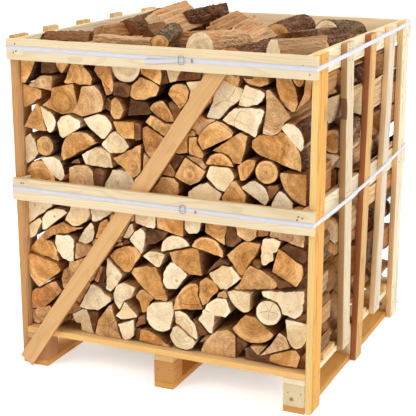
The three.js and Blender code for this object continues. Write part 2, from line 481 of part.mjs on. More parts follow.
// Straps around the crate: corners and points between, x and y as shares of the half width, z the
// middle of the strap
const STRAP_WIDTH = 15;
const STRAP_THICK = 1.2;
const topStrapPath = [
  [-1, -1, 1146],
  [0.1, -1, 1142],
  [1, -1, 1139],
  [1, -0.4, 1146],
  [1, 1, 1167],
  [0, 1, 1160],
  [-1, 1, 1154],
];
const middleStrapPath = [
  [-1, -1, 660],
  [1, -1, 652],
  [1, -0.5, 650],
  [1, 0, 657],
  [1, 0.5, 670],
  [1, 1, 690],
  [-1, 1, 676],
];
function strapLoop(path) {
  const inner = HALF + FIT;
  const outer = inner + STRAP_THICK;
  const reach = (share, size) => (Math.abs(share) === 1 ? share * size : share * inner);
  const rings = path.map(([x, y, z]) => {
    const [low, high] = [z - STRAP_WIDTH / 2, z + STRAP_WIDTH / 2];
    const [nearX, nearY] = [reach(x, inner), reach(y, inner)];
    const [farX, farY] = [reach(x, outer), reach(y, outer)];
    return [[nearX, nearY, low], [nearX, nearY, high], [farX, farY, high], [farX, farY, low]];
  });
  return sweep(rings, true);
}
addPiece('strap_top', strapLoop(topStrapPath), STRAP_WHITE, 0.35);
addPiece('strap_middle', strapLoop(middleStrapPath), STRAP_WHITE, 0.35);

// Wire buckles: a rounded rectangle of round wire in front of each strap
const WIRE = 1.5;
const BUCKLE_HALF = [9.5, 13.5];
function buckleSolid(x, z, front) {
  const rings = [];
  const corner = 4;
  for (const [quarter, sx, sz] of [[0, 1, 1], [1, -1, 1], [2, -1, -1], [3, 1, -1]]) {
    for (const part of [0, 1, 2]) {
      const turn = ((quarter + part / 2) * Math.PI) / 2;
      const [outX, outZ] = [Math.cos(turn), Math.sin(turn)];
      const middleX = x + sx * (BUCKLE_HALF[0] - corner) + corner * outX;
      const middleZ = z + sz * (BUCKLE_HALF[1] - corner) + corner * outZ;
      rings.push([0, 1, 2, 3, 4].map((side) => {
        const angle = (side * Math.PI) / 2.5;
        const out = WIRE * Math.cos(angle);
        return [middleX + out * outX, front + WIRE * Math.sin(angle), middleZ + out * outZ];
      }));
    }
  }
  return toSolid(sweep(rings, true));
}
const BUCKLE_X = 103;
addPiece('buckle_top', toGeometry(buckleSolid(BUCKLE_X, 1141, -555.4)), WIRE_GREY, 0.35, 0.9);
addPiece('buckle_middle', toGeometry(buckleSolid(BUCKLE_X, 656, -553.4)), WIRE_GREY, 0.35, 0.9);

// Log ends as drawn, with bark edges bowed into short straights
function drawOutline(corners, step) {
  const points = [];
  corners.forEach(([x, z, bow], i) => {
    const [nextX, nextZ] = corners[(i + 1) % corners.length];
    points.push([x, z]);
    if (bow) {
      const span = Math.hypot(nextX - x, nextZ - z);
      const radius = (span * span / 4 + bow * bow) / (2 * bow);
      const halfTurn = Math.atan2(span / 2, radius - bow);
      const [outX, outZ] = [(nextZ - z) / span, (x - nextX) / span];
      const centreX = (x + nextX) / 2 + outX * (bow - radius);
      const centreZ = (z + nextZ) / 2 + outZ * (bow - radius);
      const start = Math.atan2(z - centreZ, x - centreX);
      const parts = Math.max(2, Math.round((2 * halfTurn * radius) / step));
      for (let j = 1; j < parts; j += 1) {
        const turn = start + (2 * halfTurn * j) / parts;
        points.push([centreX + radius * Math.cos(turn), centreZ + radius * Math.sin(turn)]);
      }
    }
  });
  return points;
}

function area(points) {
  return points.reduce((sum, [x, z], i) => {
    const [nextX, nextZ] = points[(i + 1) % points.length];
    return sum + (x * nextZ - nextX * z) / 2;
  }, 0);
}

// Keeps what lies where side * (coordinate - limit) is not above zero
function trim(points, axis, limit, side) {
  const kept = [];
  points.forEach((here, i) => {
    const next = points[(i + 1) % points.length];
    const [a, b] = [side * (here[axis] - limit), side * (next[axis] - limit)];
    if (a <= 0) {
      kept.push(here);
    }
    if (a * b < 0) {
      const share = a / (a - b);
      kept.push([here[0] + (next[0] - here[0]) * share, here[1] + (next[1] - here[1]) * share]);
    }
  });
  return kept;
}

// Drops corners that stand out from their neighbours by less than the tolerance
function thin(points, tolerance) {
  const kept = [...points];
  for (;;) {
    let least = tolerance;
    let drop = -1;
    kept.forEach(([x, z], i) => {
      const [ax, az] = kept[(i + kept.length - 1) % kept.length];
      const [bx, bz] = kept[(i + 1) % kept.length];
      const span = Math.hypot(bx - ax, bz - az) || 1;
      const stands = Math.abs((bx - ax) * (z - az) - (bz - az) * (x - ax)) / span;
      if (stands < least) {
        least = stands;
        drop = i;
      }
    });
    if (drop < 0 || kept.length < 4) {
      return kept;
    }
    kept.splice(drop, 1);
  }
}

function grow(points, by) {
  return points.map(([x, z], i) => {
    const [ax, az] = points[(i + points.length - 1) % points.length];
    const [bx, bz] = points[(i + 1) % points.length];
    const before = new THREE.Vector2(z - az, ax - x).normalize();
    const after = new THREE.Vector2(bz - z, x - bx).normalize();
    const both = before.clone().add(after).divideScalar(Math.max(0.35, 1 + before.dot(after)));
    return [x + by * both.x, z + by * both.y];
  });
}

// One row: the drawn ends, turned over and enlarged for the rows behind, joined where the logs touch
const SIDE_LIMIT = 527.5;
const FLOOR_LIMIT = DECK_TOP + FIT;
const GROWTH = 2.4;
const END_PLAY = 14;
const END_LEVELS = 3;
const DRAWN_MIDDLE = 627;
// Name, turned over in X and in Z, scale, step along bark, thinning tolerance, least area, seed
const rowTable = [
  ['log_row_front', 1, 1, 1, 50, 11, 2600, 11],
  ['log_row_second', -1, 1, 1.66, 90, 23, 5800, 23],
  ['log_row_third', 1, -1, 1.66, 90, 23, 5800, 37],
  ['log_row_back', -1, -1, 1.58, 80, 18, 5000, 51],
];
const rowPlans = rowTable.map(([name, acrossX, acrossZ, scale, step, tolerance, least, seed]) => {
  return { name, acrossX, acrossZ, scale, step, tolerance, least, seed };
});

function rowOutlines(plan, top) {
  const rise = (FLOOR_LIMIT + top) / 2;
  const outlines = [];
  for (const [, ...corners] of FRONT_LOGS) {
    let points = drawOutline(corners, plan.step).map(([x, z]) => [
      x * plan.acrossX * plan.scale,
      plan.scale === 1 ? z : rise + (z - DRAWN_MIDDLE) * plan.acrossZ * plan.scale,
    ]);
    if (plan.acrossX * plan.acrossZ < 0) {
      points.reverse();
    }
    points = trim(trim(points, 0, SIDE_LIMIT, 1), 0, -SIDE_LIMIT, -1);
    points = trim(trim(points, 1, top, 1), 1, FLOOR_LIMIT, -1);
    points = points.length > 2 ? thin(points, plan.tolerance) : points;
    if (points.length > 2 && area(points) > plan.least) {
      outlines.push(points);
    }
  }
  return outlines;
}

// Lets every log reach its neighbours: those that hang free of the main pile swell until they touch it
const SWELL_STEP = 1.6;
const SWELL_ROUNDS = 16;
const LEAST_CONTACT = 400;
function joinTouching(count, make) {
  const all = [...Array(count).keys()];
  const growth = all.map(() => 0);
  const solids = all.map((i) => make(i, 0));
  const apart = (a, b) => [0, 1, 2].some((k) => a.min[k] > b.max[k] || b.min[k] > a.max[k]);
  for (let round = 0; round < SWELL_ROUNDS; round += 1) {
    const bounds = solids.map((solid) => solid.boundingBox());
    const group = [...all];
    const root = (i) => (group[i] === i ? i : root(group[i]));
    for (const i of all) {
      for (let j = i + 1; j < count; j += 1) {
        const near = !apart(bounds[i], bounds[j]) && root(i) !== root(j);
        if (near && solids[i].intersect(solids[j]).volume() > LEAST_CONTACT) {
          group[root(i)] = root(j);
        }
      }
    }
    const sizes = all.map((i) => all.filter((j) => root(j) === i).length);
    const main = sizes.indexOf(Math.max(...sizes));
    const loose = all.filter((i) => root(i) !== main);
    if (loose.length === 0) {
      break;
    }
    for (const i of loose) {
      growth[i] += SWELL_STEP;
      solids[i] = make(i, growth[i]);
    }
  }
  return wasm.Manifold.union(solids);
}

function buildRow(plan, [near, far], top) {
  let seed = plan.seed;
  const random = () => {
    seed = (seed * 16807) % 2147483647;
    return seed / 2147483647;
  };
  const outlines = rowOutlines(plan, top);
  const frontPlay = near < -HALF / 2 ? END_PLAY : 0;
  const backPlay = far > HALF / 2 ? END_PLAY : 0;
  const spans = outlines.map(() => {
    const play = Math.floor(random() * END_LEVELS) / END_LEVELS;
    return [near + frontPlay * play, far - backPlay * play];
  });
  const make = (i, growth) => {
    return toSolid(depthPrism(grow(outlines[i], GROWTH * plan.scale + growth), ...spans[i]));
  };
  let row = joinTouching(outlines.length, make);
  const room = boxGeometry([-SIDE_LIMIT, SIDE_LIMIT], [near, far], [FLOOR_LIMIT, top]);
  row = row.intersect(toSolid(room));
  for (const side of [-1, 1]) {
    for (const [, z0, z1] of railHeights) {
      const rail = [side * (RAIL_INNER - FIT), side * HALF].sort((a, b) => a - b);
      row = row.subtract(toSolid(boxGeometry(rail, [near - 1, far + 1], [z0 - FIT, z1 + FIT])));
    }
  }
  return largestBody(row);
}
rowPlans.forEach((plan, i) => {
  addPiece(plan.name, toGeometry(buildRow(plan, ROW_ENDS[i], ROW_TOPS[i])), LOG_WOOD, 0.85);
});

// Log ends of the heap, drawn around the middle of the log
function endShape(kind, width, height, step) {
  const [w, h] = [width / 2, height / 2];
  const shapes = {
    wedge: [[-w, -h], [w, -h], [w * 0.15, h]],
    quarter: [[-w, -h * 0.7], [0, -h], [w, -h * 0.8], [w * 0.55, h * 0.75], [-w * 0.3, h]],
    half: [[w, -h], [w, -h * 0.6, h * 1.4], [-w, -h * 0.6], [-w, -h]],
    slab: [[-w, -h], [w, -h * 0.8], [w * 0.9, h * 0.7], [-w * 0.85, h]],
    round: [[-w, 0, h], [w, 0, h]],
  };
  return drawOutline(shapes[kind], step);
}

function heapLog([kind, width, height, length, place, heading, pitch, roll], room, step) {
  const wider = 1 + (2 * room) / Math.min(width, height);
  const outline = endShape(kind, width * wider, height * wider, step);
  const geometry = crossPrism(outline, -length / 2 - room, length / 2 + room);
  geometry.rotateX(THREE.MathUtils.degToRad(roll));
  geometry.rotateY(THREE.MathUtils.degToRad(-pitch));
  geometry.rotateZ(THREE.MathUtils.degToRad(heading));
  return toSolid(geometry.translate(...place));
}

const HEAP_FLOOR = 1000;
const HEAP_TOP = 1290;
const ROW_OVERLAP = 30;
const rowsBelow = wasm.Manifold.union(ROW_ENDS.map(([near, far], i) => {
  const depth = [near - ROW_OVERLAP, far + (i === 0 ? 2 * FIT : ROW_OVERLAP)];
  return toSolid(boxGeometry([-HALF, HALF], depth, [HEAP_FLOOR, ROW_TOPS[i] + FIT]));
}));
const railClear = RAIL_INNER - 2 * FIT;
const BRACE_CLEAR = 508;
const BOARD_CLEAR = 527;
const BRACE_CLEAR_TOP = 1186;
const clearWidth = [-railClear, railClear];
const inside = wasm.Manifold.union([
  toSolid(boxGeometry(clearWidth, [-BRACE_CLEAR, BRACE_CLEAR], [HEAP_FLOOR, HEAP_TOP])),
  toSolid(boxGeometry(clearWidth, [-BOARD_CLEAR, BOARD_CLEAR], [BRACE_CLEAR_TOP, HEAP_TOP])),
]);
const LOG_ROOM = 1.5;
const LOOSE_STEP = 26;
const HEAP_STEP = 52;
const placed = [];
for (const [name, ...log] of TOP_LOGS) {
  let solid = heapLog(log, 0, LOOSE_STEP).intersect(inside).subtract(rowsBelow);
  for (const other of placed) {
    solid = solid.subtract(other);
  }
  placed.push(heapLog(log, LOG_ROOM, LOOSE_STEP));
  addPiece(name, toGeometry(largestBody(solid)), LOG_WOOD, 0.85);
}
const taken = wasm.Manifold.union([rowsBelow, ...placed]);
const heap = joinTouching(HEAP.length, (i, growth) => {
  return largestBody(heapLog(HEAP[i], growth, HEAP_STEP).intersect(inside).subtract(taken));
});
addPiece('top_layer', toGeometry(largestBody(heap)), LOG_WOOD, 0.85);

export default crate;
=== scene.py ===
import bpy
import math
import numpy as np
from mathutils import Matrix, Vector


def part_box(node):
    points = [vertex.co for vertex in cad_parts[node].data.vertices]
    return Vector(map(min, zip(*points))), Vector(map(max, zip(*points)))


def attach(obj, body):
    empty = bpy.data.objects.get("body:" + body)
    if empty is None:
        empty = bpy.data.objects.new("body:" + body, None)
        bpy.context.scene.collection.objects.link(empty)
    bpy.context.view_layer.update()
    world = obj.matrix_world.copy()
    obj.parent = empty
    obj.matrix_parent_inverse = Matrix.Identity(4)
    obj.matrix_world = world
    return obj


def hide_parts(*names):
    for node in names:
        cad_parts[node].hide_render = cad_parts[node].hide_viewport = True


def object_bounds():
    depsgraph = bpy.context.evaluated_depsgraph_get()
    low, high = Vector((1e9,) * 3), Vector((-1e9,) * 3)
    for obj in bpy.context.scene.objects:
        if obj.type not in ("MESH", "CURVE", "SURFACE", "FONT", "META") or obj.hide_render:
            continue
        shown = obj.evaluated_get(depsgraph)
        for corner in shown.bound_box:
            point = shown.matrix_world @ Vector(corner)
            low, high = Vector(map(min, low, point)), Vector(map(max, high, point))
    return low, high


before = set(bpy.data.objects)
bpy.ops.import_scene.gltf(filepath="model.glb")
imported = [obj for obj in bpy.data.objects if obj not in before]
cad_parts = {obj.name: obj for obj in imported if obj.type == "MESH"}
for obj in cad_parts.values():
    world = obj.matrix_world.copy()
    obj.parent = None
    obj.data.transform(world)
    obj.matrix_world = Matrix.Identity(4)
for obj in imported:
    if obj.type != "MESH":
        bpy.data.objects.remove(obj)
cad_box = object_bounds()

# Camera
# A long lens stands in front and to the right of the crate, a little above its top, and looks down
# a sixth of a right angle, as the photographer stood.
camera_data = bpy.data.cameras.new("photo_camera")
camera_data.sensor_width = 36
camera_data.lens = 99.5
camera = bpy.data.objects.new("photo_camera", camera_data)
bpy.context.scene.collection.objects.link(camera)
camera_right = Vector((0.91271, 0.40860, -0.00078))
camera_up = Vector((-0.10908, 0.24550, 0.96324))
camera_back = Vector((0.39378, -0.87907, 0.26865))
camera.matrix_world = Matrix.Translation((1.6474, -3.7973, 1.6625)) @ Matrix(
    (camera_right, camera_up, camera_back)).transposed().to_4x4()
camera_data.clip_end = 50
bpy.context.scene.camera = camera

# Pallet
# Sawn softwood: three bottom boards and nine blocks carry three stringers, and six deck boards are
# nailed across them. Every board is rough from the saw, with soft edges and its own tint of yellow.
mm = 0.001
rng = np.random.default_rng(4938)


class Finish:
    """A value, vector or colour on its way through a material's nodes."""

    def __init__(self, tree, socket=None):
        self.tree = tree
        self.socket = socket

    def node(self, kind, settings=None, values=None, output=0):
        made = self.tree.nodes.new(kind)
        for name, value in (settings or {}).items():
            if name == "stops":
                ramp = made.color_ramp
                while len(ramp.elements) < len(value):
                    ramp.elements.new(0.5)
                for element, (place, colour) in zip(ramp.elements, value):
                    element.position = place
                    element.color = (*colour, 1)
            else:
                setattr(made, name, value)
        for name, value in (values or {}).items():
            target = made.inputs[name]
            if isinstance(value, Finish):
                self.tree.links.new(value.socket, target)
            else:
                target.default_value = value
        return Finish(self.tree, made.outputs[output] if len(made.outputs) else None)

    def math(self, operation, *values):
        return self.node("ShaderNodeMath", {"operation": operation}, dict(enumerate(values)))

    def vector(self, operation, *values, output=0):
        return self.node("ShaderNodeVectorMath", {"operation": operation}, dict(enumerate(values)), output)

    def __add__(self, other):
        return self.math("ADD", self, other)

    def __radd__(self, other):
        return self.math("ADD", other, self)

    def __sub__(self, other):
        return self.math("SUBTRACT", self, other)

    def __rsub__(self, other):
        return self.math("SUBTRACT", other, self)

    def __mul__(self, other):
        return self.math("MULTIPLY", self, other)

    def __rmul__(self, other):
        return self.math("MULTIPLY", other, self)

    def __truediv__(self, other):
        return self.math("DIVIDE", self, other)

    def __pow__(self, other):
        return self.math("POWER", self, other)

    def __abs__(self):
        return self.math("ABSOLUTE", self)

    def axes(self):
        return [self.node("ShaderNodeSeparateXYZ", {}, {0: self}, i) for i in range(3)]

    def stretched(self, x, y, z):
        return self.vector("MULTIPLY", self, (x, y, z))

    def noise(self, scale, detail=3.0, roughness=0.55, distortion=0.0):
        return self.node("ShaderNodeTexNoise", {"noise_dimensions": "3D"}, {
            "Vector": self, "Scale": scale, "Detail": detail, "Roughness": roughness,
            "Distortion": distortion})

    def between(self, low, high):
        """0 below low, 1 above high, smooth between; high may be the smaller one."""
        return self.node("ShaderNodeMapRange", {"interpolation_type": "SMOOTHSTEP"}, {
            "Value": self, "From Min": low, "From Max": high})

    def blend(self, first, second):
        """From the first colour to the second as this value goes from 0 to 1."""
        settings = {"data_type": "RGBA", "clamp_factor": True}
        return self.node("ShaderNodeMix", settings, {0: self, 6: first, 7: second}, 2)

    def times(self, factor):
        """A colour made lighter or darker by a value."""
        return self.node("ShaderNodeVectorMath", {"operation": "SCALE"}, {0: self, "Scale": factor})

    def deepened(self, tone):
        """A wood colour made lighter or darker by a value, and warmer as it darkens."""
        tone = self.math("MAXIMUM", tone, 0.15)
        shade = self.node("ShaderNodeCombineXYZ", {}, {0: tone, 1: tone ** 1.2, 2: tone ** 1.5})
        return self.vector("MULTIPLY", self, shade)


def tint(code):
    """A colour given as RRGGBB on screen, as the light that it stands for."""
    parts = [int(code[i:i + 2], 16) / 255 for i in (0, 2, 4)]
    return tuple(p / 12.92 if p <= 0.04045 else ((p + 0.055) / 1.055) ** 2.4 for p in parts)


def new_finish(name):
    material = bpy.data.materials.new(name)
    material.use_nodes = True
    tree = material.node_tree
    tree.nodes.clear()
    return material, Finish(tree)


def attribute(start, name, output=1):
    return start.node("ShaderNodeAttribute", {"attribute_name": name}, {}, output)


def close_finish(start, colour, roughness, height, bump, specular=0.35, metallic=0.0, glow=0.0,
                 glow_colour=None):
    normal = start.node("ShaderNodeBump", {}, {"Height": height, "Strength": bump, "Distance": 0.001})
    surface = start.node("ShaderNodeBsdfPrincipled", {}, {
        "Base Color": colour, "Roughness": roughness, "Normal": normal, "Metallic": metallic,
        "Specular IOR Level": specular, "Emission Color": glow_colour or colour,
        "Emission Strength": glow})
    start.node("ShaderNodeOutputMaterial", {}, {"Surface": surface})


def sawn_softwood(name, line_strength=0.30, bump=0.5, knots_seen=1.0):
    """Softwood boards: rings cut along the grain, fine fibres, a few knots and marks of the saw."""
    material, start = new_finish(name)
    place = attribute(start, "board_place")
    base = attribute(start, "board_colour", 0)
    along, across, through = place.axes()
    wander = place.stretched(2.2, 14, 14).noise(1.0, 2.0) - 0.5
    knots = place.node("ShaderNodeTexVoronoi", {"feature": "F1"}, {
        "Vector": place.stretched(3.4, 15, 15), "Scale": 1.0, "Randomness": 1.0}, 0)
    knot = knots.between(0.17, 0.06) * knots_seen
    near_knot = knots.between(0.45, 0.1) * knots_seen
    reach = (across * across + (through + 0.09) * (through + 0.09)) ** 0.5
    rings = reach * 210 + wander * 5.5 + near_knot * 2.5 + along * 1.6
    line = rings.math("FRACT", rings)
    late = line.between(0.45, 0.95) * line.between(1.0, 0.96)
    fibre = place.stretched(7, 420, 420).noise(1.0, 3.0)
    patches = place.stretched(1.6, 16, 16).noise(1.0, 2.0)
    colour = base.times(1.0 - late * line_strength + (fibre - 0.5) * 0.16 + (patches - 0.5) * 0.30)
    warm = colour.vector("MULTIPLY", colour, (1.0, 0.93, 0.80))
    colour = (late * 0.6 + near_knot * 0.5).blend(colour, warm)
    colour = (knot * 0.85).blend(colour, (*tint("6E4322"), 1))
    saw = place.stretched(620, 25, 25).noise(1.0, 2.0)
    height = fibre * 0.5 + saw * 0.35 - late * 0.25
    roughness = 0.72 - late * 0.12
    close_finish(start, colour, roughness, height, bump)
    return material


def section_outline(width, thick, soft=1.3 * mm):
    """Round-cornered rectangle about the middle, anticlockwise."""
    points = []
    for sx, sy, first in ((1, -1, -90), (1, 1, 0), (-1, 1, 90), (-1, -1, 180)):
        for turn in (0, 45, 90):
            angle = math.radians(first + turn)
            points.append((sx * (width / 2 - soft) + soft * math.cos(angle),
                           sy * (thick / 2 - soft) + soft * math.sin(angle)))
    return np.array(points)


def plank(name, line, across, through, width, thick, finish, wide, narrow, slot, nodes):
    """A sawn board along a line of points, its width and thickness laid along two directions.

    wide and narrow are the colours of its two kinds of face.
    """
    line = np.array(line, dtype=float)
    if len(line) == 2:
        steps = max(4, int(np.linalg.norm(line[1] - line[0]) / 0.07))
        shares = np.linspace(0, 1, steps + 1)[:, None]
        line = line[0] * (1 - shares) + line[1] * shares
    across = np.array(across, dtype=float)
    through = np.array(through, dtype=float)
    outline = section_outline(width, thick)
    run = np.concatenate([[0], np.cumsum(np.linalg.norm(np.diff(line, axis=0), axis=1))])
    ease = 1.0 * mm
    direction = (line[-1] - line[0]) / np.linalg.norm(line[-1] - line[0])
    rings = [(line[0], 0, 1 - 2 * ease / thick), (line[0] + direction * ease, ease, 1)]
    rings += [(p, r, 1) for p, r in zip(line[1:-1], run[1:-1])]
    rings += [(line[-1] - direction * ease, run[-1] - ease, 1), (line[-1], run[-1], 1 - 2 * ease / thick)]
    count = len(outline)
    verts = []
    places = []
    lean = rng.normal(0, 0.35 * mm, (len(rings), count // 3))
    offset = rng.uniform(0, 40)
    pith = rng.uniform(-0.4, 0.4) * width
    for k, (point, distance, size) in enumerate(rings):
        rough = np.repeat(lean[k] * (0 if k in (0, len(rings) - 1) else 1), 3)[:count]
        for j, (a, b) in enumerate(outline):
            inset = 1 - abs(rough[j]) / thick
            a, b = a * (1 - (1 - size) * thick / width) * inset, b * size * inset
            verts.append(point + across * a + through * b)
            places.append((distance + offset, a + pith, b))
    faces = [list(range(count))[::-1]]
    for k in range(len(rings) - 1):
        for j in range(count):
            i = (j + 1) % count
            faces.append([k * count + j, k * count + i, (k + 1) * count + i, (k + 1) * count + j])
    faces.append([(len(rings) - 1) * count + j for j in range(count)])
    mesh = bpy.data.meshes.new(name)
    mesh.from_pydata([tuple(v) for v in verts], [], faces)
    if np.dot(np.cross(across, through), direction) < 0:
        mesh.flip_normals()
    put_attribute(mesh, "board_place", places)
    normals = np.array([p.normal for p in mesh.polygons])
    share = np.abs(normals @ through) > 0.7
    colours = np.empty((len(mesh.loops), 4))
    for polygon, is_wide in zip(mesh.polygons, share):
        colours[list(polygon.loop_indices)] = (*(wide if is_wide else narrow), 1)
    layer = mesh.attributes.new("board_colour", "FLOAT_COLOR", "CORNER")
    layer.data.foreach_set("color", (colours * [*([rng.uniform(0.95, 1.04)] * 3), 1]).ravel())
    mesh.materials.append(finish)
    mesh.shade_smooth()
    mesh.set_sharp_from_angle(angle=math.radians(50))
    return keep(mesh, name, slot, nodes)


def put_attribute(mesh, name, values, kind="FLOAT_VECTOR", field="vector"):
    layer = mesh.attributes.new(name, kind, "POINT")
    layer.data.foreach_set(field, np.array(values, dtype=np.float32).ravel())


def keep(mesh, name, slot, nodes):
    """The finished piece, riding on the crate in place of its plain solids."""
    piece = bpy.data.objects.new(name, mesh)
    bpy.context.scene.collection.objects.link(piece)
    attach(piece, "root")
    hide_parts(*nodes)
    return piece


def board_from_box(node, slot, finish, wide, narrow, end="x"):
    """A board that fills the box of its solid, running along X, Y or Z."""
    low, high = (np.array(corner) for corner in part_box(node))
    size = high - low
    middle = (low + high) / 2
    along = "xyz".index(end)
    others = [i for i in range(3) if i != along]
    flat, deep = sorted(others, key=lambda i: -size[i])
    unit = np.eye(3)
    start, stop = middle.copy(), middle.copy()
    start[along], stop[along] = low[along], high[along]
    return plank(f"{node}_sawn", [start, stop], unit[flat], unit[deep], size[flat], size[deep], finish,
                 wide, narrow, slot, [node])


deck_finish = sawn_softwood("deck_softwood", 0.10, 0.5, 0.4)
block_finish = sawn_softwood("block_softwood", 0.2)
stringer_finish = sawn_softwood("stringer_softwood", 0.10, 0.5, 0.4)
for side in ("left", "middle", "right"):
    board_from_box(f"bottom_board_{side}", "deck_wood", deck_finish, tint("DFA653"), tint("D89B4C"), "y")
    shade = tint({"left": "D2A870", "middle": "DDB070", "right": "EDDAB6"}[side])
    board_from_box(f"stringer_{side}", "stringer_wood", stringer_finish, shade, shade, "y")
    for place in ("front", "centre", "back"):
        shade = {"left": "B97F50", "middle": "CF8F4D", "right": "E6CFA4"}[side]
        board_from_box(f"block_{place}_{side}", "block_wood", block_finish, tint(shade), tint(shade), "y")
for number in range(1, 7):
    board_from_box(f"deck_board_{number}", "deck_wood", deck_finish, tint("EEC285"), tint("F4BF73"), "x")

# Uprights
# Five sawn boards stand on each side, nailed outside the rails and the pallet. Two of the three
# between the corner posts stop at the deck. Some lean, and their tints differ from board to board.
post_finish = sawn_softwood("post_softwood")
slat_finish = sawn_softwood("slat_softwood", 0.12, 0.5, 0.4)
dark_slat_finish = sawn_softwood("dark_slat_softwood")
# The colour of an upright's wide and narrow faces, and its slot and finish.
# The narrow front faces of slat_right_1 and slat_right_3 are painted lighter than their wood: painted light
# on faces that the front post and boards leave in shade.
upright_looks = {
    "post_front_right": ("E5A446", "F0C67E", "post_wood", post_finish),
    "slat_right_1": ("D8C09C", "BC9160", "slat_wood", slat_finish),
    "slat_right_2": ("DEAA62", "B0673A", "dark_slat_wood", dark_slat_finish),
    "slat_right_3": ("D8C5AB", "F4CC98", "slat_wood", slat_finish),
    "post_back_right": ("EDD9B5", "ECC086", "post_wood", post_finish),
    "post_front_left": ("DDAC76", "CF9458", "post_wood", post_finish),
    "slat_left_1": ("DDBB82", "D3A66A", "slat_wood", slat_finish),
    "slat_left_2": ("E0B470", "CFA05F", "dark_slat_wood", dark_slat_finish),
    "slat_left_3": ("E2C48F", "D0A468", "slat_wood", slat_finish),
    "post_back_left": ("E0BF88", "CFA267", "post_wood", post_finish),
}
# Where a slat's edge is at its foot and at its top, and its width.
upright_feet = {
    "slat_right_1": (-197.5, -254.5, 77), "slat_right_2": (-37, 16, 72), "slat_right_3": (189, 266, 71),
    "slat_left_1": (-336, -318, 75), "slat_left_2": (-70, -88, 72), "slat_left_3": (150, 168, 72),
}
for node, (wide, narrow, slot, finish) in upright_looks.items():
    low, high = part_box(node)
    if node in upright_feet:
        foot, top, width = (value * mm for value in upright_feet[node])
    else:
        foot, top, width = low[1], low[1], high[1] - low[1]
    middle_x = (low[0] + high[0]) / 2
    line = [(middle_x, foot + width / 2, low[2]), (middle_x, top + width / 2, high[2])]
    if node == "slat_right_1":
        line = np.linspace(line[0], line[1], 61)
    upright = plank(f"{node}_sawn", line, (0, 1, 0), (1, 0, 0), width, high[0] - low[0], finish,
                    tint(wide), tint(narrow), slot, [node])
    if node == "slat_right_1":
        wane_middle, wane_half, wane_depth = 0.9625, 0.0405, 0.009
        for corner in upright.data.vertices:
            x, y, z = corner.co
            share = 1 - ((z - wane_middle) / wane_half) ** 2
            rise = (z - low[2]) / (high[2] - low[2])
            if share > 0 and y < foot + width / 2 + (top - foot) * rise:
                corner.co.y += wane_depth * share ** 0.7
        edge_colour = upright.data.attributes["board_colour"].data
        for face in upright.data.polygons:
            front_face = face.normal.y < -0.5
            if front_face and abs(face.center.z - wane_middle) < wane_half:
                for loop in face.loop_indices:
                    edge_colour[loop].color = (*tint("8A5E3A"), 1)

# Rails and wide boards
# Cream rails run in depth inside the uprights at two heights. Wide planed boards close the front and
# the back at the same heights, nailed to the ends of the rails and the posts.
rail_finish = sawn_softwood("rail_softwood", 0.2)
face_board_finish = sawn_softwood("face_board_softwood", 0.08, 0.25, 0.15)
for level in ("top", "middle"):
    for side in ("left", "right"):
        board_from_box(f"rail_{level}_{side}", "rail_wood", rail_finish, tint("EFDDBB"), tint("E6CBA0"), "y")
    for side in ("front", "back"):
        board_from_box(f"{side}_board_{level}", "face_board_wood", face_board_finish,
                       tint("ECD5AE"), tint("E6C998"), "x")

# Diagonal braces
# A thin sawn board springs from the foot of one corner, outside the pallet, to the top board, and
# bends to pass behind both boards. The back of the crate has the same one.
brace_finish = sawn_softwood("brace_softwood", 0.07, 0.4, 0.4)
BRACE_FOOT = np.array((-526, 18.5)) * mm
BRACE_TOP = np.array((252, 1162.6)) * mm
BRACE_WIDTH = 58 * mm
BRACE_THICK = 19.7 * mm
brace_run = np.linalg.norm(BRACE_TOP - BRACE_FOOT)
brace_line = []
for share in np.linspace(0, 1, 21):
    x, z = BRACE_FOOT + (BRACE_TOP - BRACE_FOOT) * share
    rise = min(1, max(0, (share * 1162.6 - 150) / 440))
    front = -550 + 20.3 * rise * rise * (3 - 2 * rise)
    brace_line.append((x, front * mm + BRACE_THICK / 2, z))
brace_across = ((BRACE_TOP - BRACE_FOOT)[1] / brace_run, 0, -(BRACE_TOP - BRACE_FOOT)[0] / brace_run)
plank("brace_front_sawn", brace_line, brace_across, (0, 1, 0), BRACE_WIDTH, BRACE_THICK, brace_finish,
      tint("DEAC72"), tint("B97E42"), "brace_wood", ["brace_front"])
back_line = [(-x, -y, z) for x, y, z in brace_line]
plank("brace_back_sawn", back_line, (-brace_across[0], 0, brace_across[2]), (0, -1, 0), BRACE_WIDTH,
      BRACE_THICK, brace_finish, tint("E2B276"), tint("B97E42"), "brace_wood", ["brace_back"])

# Rows of logs
# Four rows of split logs, each a quarter of a metre long, lie front to back behind one another. The
# ends are sawn, the sides split along the fibres, and some sides keep their grey-brown bark.
# The colours of a log's sawn end and of its split side, then how much the end's shade may vary.
LOG_TONES = {
    "cream": ("F8E1BC", "D4AC80"), "pale": ("F3D8AE", "CFA274"), "tan": ("CFA374", "BC8A58"),
    "orange": ("D39D61", "B27848"), "rust": ("C28A56", "A06C42"), "brown": ("7A5030", "8A623D"),
}
TONE_SWINGS = {"brown": 0.5, "rust": 0.18, "tan": 0.22, "orange": 0.12, "pale": 0.12, "cream": 0.04}
